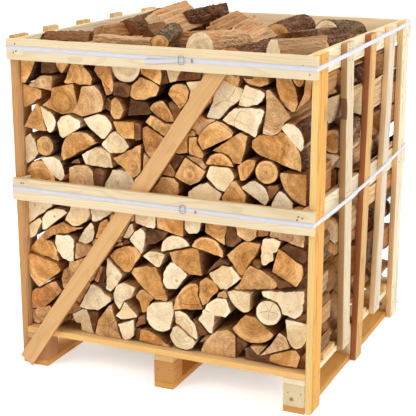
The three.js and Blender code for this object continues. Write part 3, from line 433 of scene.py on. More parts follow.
# Each log end of the front row, drawn in millimetres: its tone, then its corners going round. A third
# number is how far the bark bows out between that corner and the next.
# The brown ends stand for the flanks of logs lying deeper in the gaps: their dark colour is partly the wood
# and partly painted shade.
FRONT_LOGS = [
    ["orange", [-522, 1112], [-527, 1023], [-508, 1021, 6], [-463, 1112]],
    ["tan", [-502, 1012], [-412, 1000], [-406, 1053], [-452, 1048]],
    ["brown", [-450, 1058], [-404, 1060], [-392, 1096], [-408, 1112], [-440, 1112]],
    ["orange", [-390, 1112], [-388, 1090], [-368, 1062], [-338, 1094], [-338, 1112]],
    ["orange", [-361, 1031], [-254, 1031], [-249, 1053, 4], [-280, 1092], [-284, 1112], [-328, 1112],
     [-331, 1092]],
    ["rust", [-240, 1083], [-214, 1052], [-174, 1012], [-166, 1038], [-184, 1112], [-226, 1112]],
    ["rust", [-219, 1050], [-201, 998], [-176, 1008]],
    ["orange", [-526, 1018], [-526, 936], [-516, 936], [-456, 972], [-452, 999], [-503, 1010]],
    ["orange", [-446, 950], [-375, 922], [-318, 932], [-314, 956], [-326, 1030], [-408, 1010], [-412, 975]],
    ["tan", [-330, 933], [-290, 922], [-214, 946, 18], [-237, 1031], [-288, 1024], [-300, 985],
     [-312, 952]],
    ["brown", [-208, 952], [-184, 946], [-182, 978], [-202, 992]],
    ["orange", [-526, 868], [-468, 858], [-436, 861], [-458, 944], [-470, 955]],
    ["cream", [-432, 862], [-414, 855, 14], [-403, 922], [-455, 945]],
    ["cream", [-378, 850], [-366, 842], [-299, 884], [-298, 906], [-345, 924], [-372, 915], [-388, 893]],
    ["pale", [-274, 886], [-222, 850], [-211, 851], [-180, 890], [-182, 905], [-206, 930], [-236, 934],
     [-294, 912]],
    ["pale", [-526, 735], [-500, 750], [-472, 778], [-482, 812], [-502, 845], [-526, 830]],
    ["orange", [-475, 808, 36], [-405, 808, 36]],
    ["orange", [-376, 760], [-234, 838, 70]],
    ["cream", [-384, 687], [-366, 712, 4], [-381, 762], [-410, 775], [-459, 765], [-420, 714]],
    ["orange", [-526, 658], [-410, 658], [-410, 698, 12], [-468, 754, 12], [-526, 712]],
    ["tan", [-351, 658], [-254, 658], [-256, 735], [-278, 754], [-322, 750], [-350, 740]],
    ["brown", [-344, 754], [-306, 758], [-313, 774], [-334, 766]],
    ["pale", [-287, 758], [-230, 753], [-181, 755], [-192, 800], [-228, 820], [-256, 816], [-300, 790]],
    ["brown", [-250, 658], [-230, 658], [-208, 742], [-222, 748], [-250, 745]],
    ["pale", [-226, 658], [-128, 658], [-101, 710], [-120, 738], [-148, 750], [-186, 746], [-210, 705]],
    ["pale", [-183, 1095, 50], [-72, 1095], [-78, 1112], [-176, 1112]],
    ["brown", [-170, 1002], [-113, 1004], [-108, 1036], [-130, 1042], [-165, 1046]],
    ["orange", [-110, 1002], [-85, 992, 6], [-15, 1012, 4], [0, 1040], [-12, 1050], [-68, 1070],
     [-104, 1038]],
    ["orange", [-70, 1112], [-66, 1081], [-8, 1054], [6, 1048, 6], [6, 1112]],
    ["brown", [10, 1052], [34, 1057], [20, 1092], [14, 1112], [10, 1112]],
    ["pale", [20, 1112], [26, 1092], [38, 1058], [58, 1062], [78, 1096], [78, 1112]],
    ["brown", [64, 1066], [148, 1076], [150, 1112], [84, 1112]],
    ["orange", [74, 974], [94, 992], [106, 1034, 6], [88, 1058, 4], [50, 1054], [32, 1024]],
    ["orange", [-42, 968], [-18, 946], [20, 926], [50, 930, 6], [10, 998, 8]],
    ["orange", [-54, 922], [4, 884], [20, 880], [52, 924], [18, 924], [-20, 943], [-34, 946]],
    ["brown", [54, 930], [82, 964], [46, 1000], [30, 992], [44, 966]],
    ["orange", [-182, 942], [-168, 922], [-146, 925], [-132, 955], [-146, 985], [-164, 996], [-178, 985]],
    ["brown", [-122, 936], [-34, 950], [-46, 984], [-92, 990], [-110, 998]],
    ["orange", [-134, 861], [-94, 862], [-94, 919], [-172, 916], [-158, 882]],
    ["brown", [-92, 858], [-70, 862], [-70, 915], [-92, 918]],
    ["rust", [-66, 860], [-56, 822, 4], [-36, 803], [10, 850], [14, 874], [-52, 908], [-67, 900]],
    ["pale", [-226, 830], [-192, 804], [-145, 808], [-118, 830], [-138, 858], [-170, 880], [-186, 875]],
    ["orange", [-177, 788], [-98, 728], [-72, 756], [-68, 844], [-78, 842]],
    ["rust", [98, 890], [130, 892], [127, 905], [116, 912]],
    ["orange", [103, 830], [154, 820], [157, 834], [132, 866], [131, 888], [104, 886]],
    ["orange", [152, 846], [252, 898], [259, 914, 8], [200, 948, 10], [134, 880]],
    ["cream", [163, 954], [205, 950], [222, 968], [242, 992], [276, 1016], [290, 1052], [222, 1078],
     [192, 1040], [186, 1005]],
    ["cream", [276, 1003], [300, 998], [346, 1012, 5], [366, 1046], [340, 1056], [300, 1069], [290, 1044]],
    ["orange", [282, 1096, 20], [377, 1076], [366, 1112], [288, 1112]],
    ["cream", [222, 952], [332, 903], [363, 988], [354, 998], [268, 995], [244, 975]],
    ["tan", [358, 918], [394, 913], [418, 932], [430, 958], [452, 978], [384, 1060], [371, 1058],
     [371, 1000]],
    ["orange", [398, 1112], [402, 1066, 10], [450, 994], [464, 996], [472, 1022], [464, 1066],
     [450, 1092], [448, 1112]],
    ["rust", [456, 1112], [462, 1082], [480, 1074], [492, 1092], [492, 1112]],
    ["tan", [468, 997], [515, 1042], [522, 1112], [500, 1112], [494, 1052]],
    ["cream", [430, 931], [488, 872], [498, 890, 12], [466, 956], [438, 958], [422, 944]],
    ["orange", [320, 868], [345, 848], [486, 804, 26], [418, 930], [400, 914], [345, 912], [322, 892]],
    ["orange", [184, 846], [240, 838], [258, 812], [284, 812], [306, 903], [280, 914], [248, 893]],
    ["orange", [163, 802], [260, 800, 42]],
    ["pale", [164, 760], [206, 720], [230, 716], [265, 768], [250, 796], [178, 797]],
    ["orange", [220, 698], [234, 658], [294, 658], [306, 712], [270, 756], [258, 756]],
    ["orange", [274, 806], [285, 758], [302, 762], [333, 806], [336, 830], [312, 832]],
    ["orange", [334, 795, 39], [413, 795, 39]],
    ["pale", [286, 736], [368, 684], [383, 706, 10], [350, 757, 6], [318, 760]],
    ["pale", [98, 658], [202, 658], [220, 710], [196, 722], [166, 742], [124, 722], [98, 700]],
    ["orange", [52, 750], [72, 738], [108, 725], [142, 742], [165, 778], [92, 818]],
    ["rust", [8, 752], [50, 748], [56, 764], [36, 794], [24, 775]],
    ["orange", [-40, 658], [48, 658], [66, 702], [64, 728], [48, 744], [2, 742], [-34, 690]],
    ["cream", [378, 658], [460, 658], [464, 702], [438, 730], [418, 738], [404, 722]],
    ["orange", [418, 798, 24], [508, 698], [508, 800]],
    ["rust", [466, 658], [520, 658], [514, 694], [480, 696], [468, 690]],
    ["brown", [388, 708], [417, 742], [412, 756], [376, 751]],
    ["pale", [-526, 520], [-480, 556], [-426, 592], [-430, 655], [-526, 655]],
    ["pale", [-526, 462], [-498, 478], [-486, 505], [-468, 532], [-480, 545], [-526, 514]],
    ["pale", [-464, 506], [-450, 508], [-412, 540], [-362, 578], [-374, 588], [-410, 588], [-446, 572],
     [-464, 548]],
    ["orange", [-488, 474], [-464, 464], [-424, 490], [-370, 502], [-302, 530], [-350, 528], [-382, 540],
     [-436, 516]],
    ["pale", [-374, 550], [-342, 534], [-316, 538], [-288, 556], [-273, 578], [-292, 655], [-345, 655],
     [-352, 596]],
    ["pale", [-268, 655], [-264, 561], [-236, 566], [-186, 598], [-184, 655]],
    ["orange", [-252, 500], [-230, 505], [-196, 560], [-206, 574], [-232, 560]],
    ["pale", [-328, 477], [-296, 471], [-272, 484], [-262, 508], [-262, 536], [-276, 550], [-312, 510]],
    ["orange", [-526, 418], [-440, 399], [-411, 390], [-411, 432], [-424, 462], [-486, 468], [-500, 458]],
    ["cream", [-352, 402], [-342, 408], [-337, 484], [-352, 497], [-408, 494], [-418, 474], [-408, 436],
     [-386, 412]],
    ["tan", [-337, 413], [-318, 418], [-286, 436], [-258, 466], [-330, 474]],
    ["orange", [-362, 380], [-342, 360], [-300, 400], [-272, 440], [-300, 424], [-338, 406], [-360, 400]],
    ["orange", [-526, 336, 4], [-490, 288], [-402, 356], [-398, 370], [-412, 386], [-440, 395],
     [-526, 413]],
    ["tan", [-398, 330], [-390, 300], [-382, 294], [-338, 356], [-362, 376], [-388, 368]],
    ["rust", [-526, 262], [-526, 202], [-470, 215], [-395, 285], [-420, 318], [-442, 312], [-484, 282],
     [-505, 280]],
    ["tan", [-526, 196], [-526, 146], [-500, 144], [-436, 206], [-450, 224]],
    ["tan", [-496, 143], [-420, 143], [-398, 176], [-432, 200]],
    ["pale", [-328, 237], [-292, 232], [-248, 239], [-198, 276], [-198, 288], [-266, 333], [-276, 328]],
    ["pale", [-362, 202], [-346, 172], [-326, 176], [-324, 148], [-292, 143], [-272, 144], [-276, 165],
     [-300, 230], [-314, 228]],
    ["brown", [-270, 150], [-254, 200], [-250, 228], [-290, 225]],
    ["brown", [-395, 174], [-368, 180], [-366, 200], [-380, 194]],
    ["tan", [-264, 143], [-158, 143], [-172, 170], [-178, 206], [-188, 232], [-194, 266], [-204, 262],
     [-250, 200]],
    ["rust", [-262, 345], [-246, 341], [-226, 396], [-236, 404]],
    ["brown", [-241, 343], [-224, 343], [-218, 400], [-226, 402]],
    ["pale", [-96, 655], [-95, 574], [-78, 568], [-26, 558], [-18, 600], [-18, 655]],
    ["orange", [-14, 655], [-14, 566], [56, 550], [82, 546], [83, 655]],
    ["pale", [86, 655], [88, 575], [100, 559], [134, 564, 4], [148, 598], [146, 655]],
    ["orange", [166, 655], [161, 572], [233, 536], [231, 566], [242, 600], [242, 655]],
    ["brown", [236, 560], [240, 534], [262, 536], [292, 562], [268, 590], [262, 655], [246, 655]],
    ["tan", [268, 655], [270, 592], [280, 572], [312, 557, 5], [341, 578], [340, 655]],
    ["rust", [344, 655], [344, 576], [380, 584], [384, 655]],
    ["tan", [388, 655], [386, 584], [424, 580], [504, 560], [508, 655]],
    ["pale", [360, 479], [400, 502], [397, 528], [412, 536], [426, 572], [400, 578], [372, 574],
     [358, 570]],
    ["orange", [393, 464], [480, 425], [496, 450, 6], [500, 500], [476, 510], [446, 530], [416, 546]],
    ["brown", [424, 550], [448, 535], [478, 516], [504, 506], [514, 540], [500, 554], [448, 564]],
    ["orange", [236, 502], [286, 436], [296, 440], [314, 482], [334, 506], [356, 556], [300, 556],
     [286, 548]],
    ["orange", [262, 387], [298, 390], [406, 406], [416, 428], [384, 452], [346, 466], [320, 480],
     [298, 446], [284, 414]],
    ["pale", [220, 382], [240, 386], [264, 404], [290, 430], [258, 466], [224, 466], [178, 432],
     [186, 418]],
    ["brown", [160, 424], [172, 434], [222, 470], [252, 472], [214, 490]],
    ["orange", [110, 516], [226, 490, 54]],
    ["cream", [-2, 484], [104, 514, 48]],
    ["orange", [44, 452], [104, 418], [150, 420], [138, 508], [116, 512], [70, 498], [30, 486]],
    ["cream", [3, 376], [10, 351], [22, 350], [52, 358], [92, 412], [42, 447], [26, 448], [0, 402]],
    ["pale", [-73, 458], [-18, 427], [-6, 430], [14, 476], [-20, 481], [-48, 478]],
    ["brown", [-60, 500], [-24, 508], [8, 530], [24, 552], [-20, 556], [-52, 550]],
    ["cream", [-122, 512], [-76, 466], [-64, 500], [-61, 540], [-76, 557], [-104, 538]],
    ["pale", [-148, 513], [-125, 514], [-104, 541], [-108, 570], [-118, 566]],
    ["tan", [-184, 476], [-148, 486], [-150, 496], [-162, 494]],
    ["brown", [-146, 488], [-118, 500], [-128, 508], [-140, 508]],
    ["orange", [-204, 442], [-148, 392], [-124, 394], [-82, 462], [-104, 486], [-134, 483], [-170, 472]],
    ["pale", [-216, 320], [-200, 310], [-186, 324], [-154, 368], [-150, 384], [-206, 436], [-212, 380]],
    ["orange", [-118, 392, 8], [-28, 311], [14, 307], [20, 318], [-10, 384], [-24, 425], [-62, 423],
     [-108, 410]],
    ["pale", [-187, 308], [-184, 278], [-164, 251], [-146, 288], [-120, 300], [-104, 340], [-150, 353],
     [-174, 340]],
    ["pale", [-180, 227], [-158, 216], [-98, 234], [-96, 243], [-142, 284], [-163, 247]],
    ["orange", [-82, 252], [-64, 257], [-50, 292], [-36, 310], [-76, 334], [-94, 325], [-106, 308],
     [-90, 288]],
    ["cream", [-174, 197], [-152, 146], [-142, 143], [-112, 160], [-106, 190], [-108, 224]],
    ["brown", [-102, 196], [-66, 214], [-66, 248], [-94, 234]],
    ["brown", [-110, 146], [-94, 146], [-86, 196], [-104, 186]],
    ["orange", [-90, 150], [8, 143], [27, 147], [-20, 176], [-50, 192], [-82, 195]],
    ["pale", [-60, 232, 24], [26, 206], [42, 270], [38, 310], [0, 303], [-36, 296], [-58, 275]],
    ["orange", [42, 284], [152, 300], [134, 340], [132, 384], [104, 388, 14]],
    ["orange", [137, 344], [152, 314], [164, 324], [212, 380], [196, 402], [164, 416], [141, 400]],
    ["cream", [160, 302], [196, 285], [236, 287], [256, 310], [236, 350], [204, 350], [168, 324]],
    ["tan", [206, 353], [238, 353], [244, 370], [230, 378], [214, 372]],
    ["cream", [132, 257], [174, 216], [184, 218], [196, 282], [158, 299], [152, 298]],
    ["brown", [136, 206], [148, 206], [168, 214], [132, 250], [116, 262], [128, 230]],
    ["pale", [48, 232], [60, 230], [106, 197], [132, 186], [130, 218, 6], [106, 258, 6], [66, 281],
     [44, 276]],
    ["pale", [28, 187, 40], [131, 180], [104, 194], [58, 227], [40, 218]],
    ["tan", [140, 143], [269, 143], [268, 222], [240, 240], [196, 226, 10]],
    ["brown", [272, 146], [312, 198], [304, 208], [272, 220]],
    ["orange", [256, 246, 40], [407, 246], [340, 298], [302, 302]],
    ["tan", [360, 170], [464, 213], [448, 248], [424, 260], [396, 212]],
    ["tan", [324, 198], [354, 170], [362, 182], [382, 205], [344, 202]],
    ["orange", [392, 160], [440, 149], [488, 148], [500, 188], [484, 210], [456, 203], [398, 180]],
    ["brown", [490, 146], [520, 146], [520, 206], [502, 190]],
    ["cream", [362, 396], [368, 378], [418, 364], [434, 326], [476, 313], [500, 334], [508, 414],
     [440, 403], [396, 400]],
    ["cream", [342, 326, 44], [432, 322, 44]],
    ["pale", [455, 246], [470, 221], [486, 215], [504, 223], [520, 246], [520, 306], [478, 309],
     [446, 310]],
    ["brown", [482, 312], [518, 312], [516, 334], [503, 334]],
    ["pale", [238, 374, 12], [300, 312], [322, 320], [325, 384], [262, 384]],
    ["brown", [328, 482], [352, 470], [358, 480], [356, 498], [336, 502]],
    ["brown", [364, 470], [386, 455], [416, 434], [420, 416], [468, 427], [392, 460]],
    ["orange", [154, 1112], [153, 1080], [188, 1046], [218, 1082], [278, 1060], [280, 1092], [270, 1112]],
    ["pale", [96, 1064], [112, 1036], [100, 994], [140, 968], [180, 1008], [186, 1040], [152, 1072]],
    ["tan", [88, 966], [60, 928], [112, 916], [136, 890], [196, 950], [160, 950], [140, 962], [100, 988]],
    ["orange", [58, 922], [18, 872], [16, 852], [60, 826], [98, 832], [98, 884], [110, 912]],
    ["brown", [10, 844], [-34, 798], [20, 780], [36, 800], [54, 772], [88, 822], [56, 822]],
    ["tan", [98, 824], [160, 782], [168, 796], [160, 802], [150, 816]],
    ["tan", [-66, 756], [-30, 738], [4, 752], [18, 776], [-38, 798], [-62, 818]],
    ["pale", [-124, 658], [-46, 658], [-38, 690], [-6, 742], [-32, 732], [-68, 752], [-96, 724],
     [-96, 710]],
    ["tan", [-180, 655], [-182, 600], [-150, 588], [-101, 578], [-101, 655]],
    ["tan", [-190, 594], [-200, 576], [-192, 556], [-176, 530], [-152, 514], [-122, 566], [-120, 574],
     [-150, 584]],
    ["tan", [-226, 504], [-190, 478], [-166, 496], [-152, 500], [-152, 510], [-196, 552]],
    ["tan", [-268, 482], [-254, 464], [-282, 434], [-270, 438], [-240, 406], [-210, 444], [-190, 472],
     [-228, 500], [-256, 496]],
    ["tan", [-294, 400], [-336, 358], [-280, 336], [-264, 350], [-242, 404], [-268, 432]],
    ["brown", [-258, 336], [-206, 300], [-220, 322], [-224, 338]],
    ["orange", [-334, 352], [-378, 292], [-330, 246], [-280, 330], [-300, 338]],
    ["tan", [-440, 212], [-432, 204], [-400, 180], [-382, 198], [-362, 206], [-316, 232], [-330, 240],
     [-386, 286]],
]


def log_end_finish():
    """Sawn end grain: paler sapwood round the heart, soft rings, a few checks and marks of the saw."""
    material, start = new_finish("log_end_grain")
    place = attribute(start, "log_place")
    base = attribute(start, "log_colour", 0)
    reach_limit = attribute(start, "log_reach", 2)
    chance = attribute(start, "log_chance", 2)
    along, across, up = place.axes()
    flat = along.node("ShaderNodeCombineXYZ", {}, {0: across, 1: up})
    grain = along.node("ShaderNodeCombineXYZ", {}, {0: across, 1: up, 2: chance * 40.0})
    reach = flat.vector("LENGTH", flat, output=1)
    share = reach / reach_limit
    wobble = grain.noise(22, 2.0) - 0.5
    ring_reach = reach * (1.0 + wobble * 0.35)
    ring_line = along.node("ShaderNodeCombineXYZ", {}, {0: ring_reach * 95, 1: chance * 40.0})
    bands = ring_line.noise(1.0, 4.0, 0.62)
    fine_rings = (ring_reach * 330).math("FRACT", ring_reach * 330).between(0.3, 0.95)
    sapwood = (share + wobble * 0.35).between(0.60, 0.74)
    mottle = grain.noise(26, 4.0, 0.6)
    stains = grain.noise(11, 3.0)
    speckle = grain.noise(230, 3.0, 0.6)
    turned = across * 0.8 + up * 0.6
    saw_line = along.node("ShaderNodeCombineXYZ", {}, {0: turned * 320 + mottle * 5, 1: chance * 9.0})
    saw = saw_line.noise(1.0, 2.0)
    green = base.axes()[1]
    lively = 2.4 - green * 2.5
    tone = (bands - 0.5) * 0.85 + (mottle - 0.5) * 0.95 + (speckle - 0.5) * 0.75 + (saw - 0.5) * 0.35
    tone = 1.02 + tone * lively
    tone = tone - fine_rings * 0.06 + sapwood * 0.13 * lively
    colour = base.deepened(tone)
    warm = colour.vector("MULTIPLY", colour, (0.93, 0.76, 0.52))
    heart = (1.0 - sapwood) * chance.between(0.10, 0.5) * 0.65
    colour = ((heart + stains.between(0.48, 0.68) * 0.5) * (1.35 - green)).blend(colour, warm)
    angle = across.math("ARCTAN2", up, across) * (5 / (2 * math.pi)) + wobble * 0.8 + chance * 5.0
    offset = angle.math("FRACT", angle) - 0.5
    gap = abs(offset) * reach * (2 * math.pi / 5)
    check = gap.between(0.0010, 0.0002) * share.between(0.85, 0.5) * chance.between(0.86, 0.90)
    pith = (reach + wobble * 0.012).between(0.008, 0.001) * chance.between(0.24, 0.20)
    knot = grain.node("ShaderNodeTexVoronoi", {"feature": "F1"}, {
        "Vector": grain, "Scale": 9.0, "Randomness": 1.0}, 0)
    knot = (knot + mottle * 0.22 + wobble * 0.1).between(0.19, 0.10)
    dirt = grain.noise(45, 4.0, 0.65).between(0.60, 0.74)
    colour = (pith * 0.5 + knot * 0.5 + dirt * 0.35).blend(colour, (*tint("7A4A26"), 1))
    colour = (check * (1.15 - green)).blend(colour, (*tint("4A2A14"), 1))
    height = saw * 0.7 + speckle * 0.9 + bands * 0.3 - check * 3.0
    close_finish(start, colour, 0.82, height, 0.7, 0.2)
    return material


def split_face_finish():
    """Wood torn along its fibres: long streaks, splinters and darker heartwood."""
    material, start = new_finish("split_wood")
    place = attribute(start, "log_place")
    base = attribute(start, "log_side_colour", 0)
    streaks = place.stretched(5, 110, 110).noise(1.0, 4.0, 0.62)
    fibres = place.stretched(20, 620, 620).noise(1.0, 3.0, 0.6)
    patches = place.stretched(5, 22, 22).noise(1.0, 3.0)
    splinters = place.stretched(9, 210, 210).noise(1.0, 2.0).between(0.60, 0.68)
    tone = 1.02 + (streaks - 0.5) * 1.7 + (fibres - 0.5) * 0.8 + (patches - 0.5) * 0.7
    colour = base.deepened(tone)
    warm = colour.vector("MULTIPLY", colour, (0.90, 0.68, 0.46))
    colour = patches.between(0.45, 0.7).blend(colour, warm)
    colour = (splinters * 0.6).blend(colour, (*tint("4C2E18"), 1))
    close_finish(start, colour, 0.8, streaks * 1.8 + fibres * 0.9 - splinters * 0.6, 1.0, 0.2)
    return material


def bark_finish():
    """Grey-brown bark: ragged furrows along the log, redder where it flaked, and pale lichen."""
    material, start = new_finish("log_bark")
    place = attribute(start, "log_place")
    tone = attribute(start, "bark_tone", 2)
    twist = place.noise(30, 2.0) - 0.5
    ridge = place.stretched(16, 80, 80).noise(1.0, 5.0, 0.62, 0.6)
    furrow = abs(ridge - 0.5).between(0.05, 0.0)
    cross = place.stretched(85, 40, 40).noise(1.0, 3.0)
    cracks = abs(cross - 0.5).between(0.03, 0.0)
    rough = place.stretched(120, 260, 260).noise(1.0, 4.0, 0.7)
    lichen = place.stretched(18, 26, 26).noise(1.0, 4.0, 0.6)
    flaked = place.stretched(12, 30, 30).noise(1.0, 2.0)
    weathered = tone.between(1.5, 2.0)
    grey = tone.blend((*tint("94694A"), 1), (*tint("664632"), 1))
    colour = grey.deepened((rough - 0.5) * 1.9 + (ridge - 0.5) * 1.3 + twist * 0.7 + 1.12)
    colour = (flaked.between(0.50, 0.62) * 0.6).blend(colour, (*tint("94502E"), 1))
    colour = (lichen.between(0.56, 0.66) * 0.5).blend(colour, (*tint("A8977A"), 1))
    colour = (weathered * 0.55).blend(colour, (*tint("A38A64"), 1))
    colour = (furrow * 0.8).blend(colour, (*tint("35221A"), 1))
    colour = (cracks * 0.5).blend(colour, (*tint("3D281B"), 1))
    close_finish(start, colour, 0.92, rough * 2.0 + ridge * 2.5 - furrow * 2.5 - cracks * 1.5, 1.0, 0.12)
    return material


def inner_bark_finish():
    """The edge of the bark where the saw went through it: a thin reddish-brown rim."""
    material, start = new_finish("bark_edge")
    place = attribute(start, "log_place")
    tone = attribute(start, "bark_tone", 2)
    speckle = place.stretched(30, 220, 220).noise(1.0, 3.0)
    colour = tone.blend((*tint("9A5730"), 1), (*tint("4E3524"), 1))
    close_finish(start, colour.times(0.5 + speckle * 0.9), 0.85, speckle * 1.0, 0.8, 0.2)
    return material


log_finishes = [log_end_finish(), split_face_finish(), bark_finish(), inner_bark_finish()]
END, SPLIT, BARK, RIM = range(4)


def bowed_outline(corners):
    """The drawn corners with their bark edges bowed out; returns points and whether bark follows each."""
    points = []
    for i, corner in enumerate(corners):
        here = np.array(corner[:2], dtype=float)
        there = np.array(corners[(i + 1) % len(corners)][:2], dtype=float)
        bow = corner[2] if len(corner) > 2 else 0
        span = np.linalg.norm(there - here)
        points.append((*here, bow > 0))
        if bow:
            radius = (span * span / 4 + bow * bow) / (2 * bow)
            half_turn = math.atan2(span / 2, radius - bow)
            out = np.array(((there - here)[1], -(there - here)[0])) / span
            centre = (here + there) / 2 + out * (bow - radius)
            start = math.atan2(*(here - centre)[::-1])
            parts = max(2, round(2 * half_turn * radius / 9))
            for j in range(1, parts):
                turn = start + 2 * half_turn * j / parts
                points.append((*(centre + radius * np.array((math.cos(turn), math.sin(turn)))), True))
    return points


def fine_outline(points, step):
    """Straight stretches divided and corners eased."""
    fine = []
    for i, (x, z, bark) in enumerate(points):
        nx, nz, _ = points[(i + 1) % len(points)]
        parts = max(1, round(math.hypot(nx - x, nz - z) / step))
        for j in range(parts):
            fine.append((x + (nx - x) * j / parts, z + (nz - z) * j / parts, bark))
    flags = np.array([bark for *_, bark in fine])
    place = np.array([point[:2] for point in fine])
    eased = place * 0.8 + (np.roll(place, 1, 0) + np.roll(place, -1, 0)) * 0.1
    return eased, flags


def outward(place):
    """Unit directions out of an anticlockwise outline, one at each point."""
    along = np.roll(place, -1, 0) - np.roll(place, 1, 0)
    out = np.stack([along[:, 1], -along[:, 0]], 1)
    return out / np.maximum(np.linalg.norm(out, axis=1, keepdims=True), 1e-9)


def signed_area(place):
    x, z = place[:, 0], place[:, 1]
    return 0.5 * np.sum(x * np.roll(z, -1) - np.roll(x, -1) * z)


class Pile:
    """Collects the meshes of many logs, to be made one piece."""

    def __init__(self):
        self.verts, self.faces, self.kinds = [], [], []
        self.places, self.ends, self.sides = [], [], []
        self.barks, self.reaches, self.chances = [], [], []

    def add_log(self, corners, length, to_place, tone, step=8.0, stations=6, limit=None, rough=1.0,
                round_side=None, bark_shade=None):
        """One log: corners of its end in millimetres, its length, and where its points go."""
        place, bark = fine_outline(bowed_outline(corners), step)
        if signed_area(place) < 0:
            place, bark = place[::-1], np.roll(bark[::-1], -1)
        count = len(place)
        out = outward(place)
        torn = rng.normal(0, 1.0, count)
        torn = (torn + np.roll(torn, 1) + 0.5 * rng.normal(0, 1, count)) * np.where(bark, 0.5, 0.75)
        middle = place.mean(0)
        arc = place[bark]
        pith = middle + (middle - arc.mean(0)) * 1.1 if len(arc) > 3 else middle + rng.normal(0, 14, 2)
        if len(arc) > 0.9 * count:
            pith = middle + rng.normal(0, 3, 2)
        tilt = rng.normal(0, 0.035, (2, 2))
        drift = rng.normal(0, 2.5, 2)
        bend = rng.normal(0, 2.0, 2)
        turn = rng.normal(0, 0.03)
        depth = 2.4 if bark.any() else 0.7
        rim = np.where(bark | np.roll(bark, 1), depth, 0.6)[:, None]
        seed = rng.uniform(0, 30)
        round_side = BARK if round_side is None else round_side
        first = len(self.verts)
        shares = [0, 0, 0.004] + list(np.linspace(0, 1, stations + 1)[1:-1]) + [0.996, 1, 1]
        rings = len(shares)
        for k, share in enumerate(shares):
            far = 1 - share
            ring = place + out * (torn * (0.7 + 0.6 * math.sin(7 * share + seed)))[:, None]
            uneven = rough * (0.4 if k < 3 or k > rings - 4 else 1.0)
            ring = ring + out * (rng.normal(0, 0.5, count) * np.where(bark, 2.2, 0.9) * uneven)[:, None]
            if k in (0, rings - 1):
                ring = ring - out * rim
            elif k in (1, rings - 2):
                ring = ring - out * 0.5
            cos, sin = math.cos(turn * far), math.sin(turn * far)
            spin = np.array([[cos, -sin], [sin, cos]])
            ring = (ring - middle) @ spin.T + middle + drift * far + bend * (4 * share * far)
            which = 0 if share < 0.5 else 1
            slant = (ring - middle) @ tilt[which]
            distance = share * length + slant * (abs(2 * share - 1) ** 4)
            if limit is not None:
                ring = limit(ring)
            for (a, b), t in zip(ring, distance):
                self.verts.append(to_place(t, a, b))
            self.places.append(np.column_stack([
                (distance * mm + seed), (ring - pith) * mm]))
        fore, side = (np.array(tint(code)) for code in LOG_TONES[tone])
        swing = TONE_SWINGS[tone]
        light = rng.uniform(1 - swing, 1 + swing * 0.8)
        self.ends.append(np.tile([*(fore * light), 1], (rings * count, 1)))
        self.sides.append(np.tile([*(side * rng.uniform(0.7, 1.15)), 1], (rings * count, 1)))
        self.barks.append(np.full(rings * count, rng.uniform(0, 1) if bark_shade is None else bark_shade))
        reach = max(8.0, np.max(np.linalg.norm(place - pith, axis=1)))
        self.reaches.append(np.full(rings * count, reach * mm))
        self.chances.append(np.full(rings * count, rng.uniform(0, 1)))
        self.faces.append([first + j for j in range(count)][::-1])
        self.kinds.append(END)
        for k in range(rings - 1):
            for j in range(count):
                i = (j + 1) % count
                self.faces.append([first + k * count + j, first + k * count + i,
                                   first + (k + 1) * count + i, first + (k + 1) * count + j])
                end = k in (0, rings - 2)
                barked = bark[j] and round_side == BARK
                kind = (RIM if barked else END) if end else (BARK if barked else SPLIT)
                self.kinds.append(kind)
        last = first + (rings - 1) * count
        self.faces.append([last + j for j in range(count)])
        self.kinds.append(END)

    def finished(self, name, slot, nodes):
        mesh = bpy.data.meshes.new(name)
        mesh.from_pydata(self.verts, [], self.faces)
        for finish in log_finishes:
            mesh.materials.append(finish)
        mesh.polygons.foreach_set("material_index", self.kinds)
        smooth = [kind == BARK for kind in self.kinds]
        mesh.polygons.foreach_set("use_smooth", smooth)
        put_attribute(mesh, "log_place", np.concatenate(self.places))
        put_attribute(mesh, "log_colour", np.concatenate(self.ends), "FLOAT_COLOR", "color")
        put_attribute(mesh, "log_side_colour", np.concatenate(self.sides), "FLOAT_COLOR", "color")
        put_attribute(mesh, "bark_tone", np.concatenate(self.barks), "FLOAT", "value")
        put_attribute(mesh, "log_reach", np.concatenate(self.reaches), "FLOAT", "value")
        put_attribute(mesh, "log_chance", np.concatenate(self.chances), "FLOAT", "value")
        mesh.update()
        return keep(mesh, name, slot, nodes)


SIDE_LIMIT = 526.5
RAIL_LIMIT = 506.5
rail_spans = [(611, 703), (1097, 1183)]


def row_limit(near_top):
    """Keeps a row between the uprights and rails, above the deck and under the heap."""
    def limit(ring):
        x, z = ring[:, 0].copy(), ring[:, 1].copy()
        beside = np.zeros(len(z), dtype=bool)
        for low, high in rail_spans:
            beside |= (z > low) & (z < high)
        most = np.where(beside, RAIL_LIMIT, SIDE_LIMIT)
        return np.stack([np.clip(x, -most, most), np.clip(z, 142.8, near_top)], 1)
    return limit


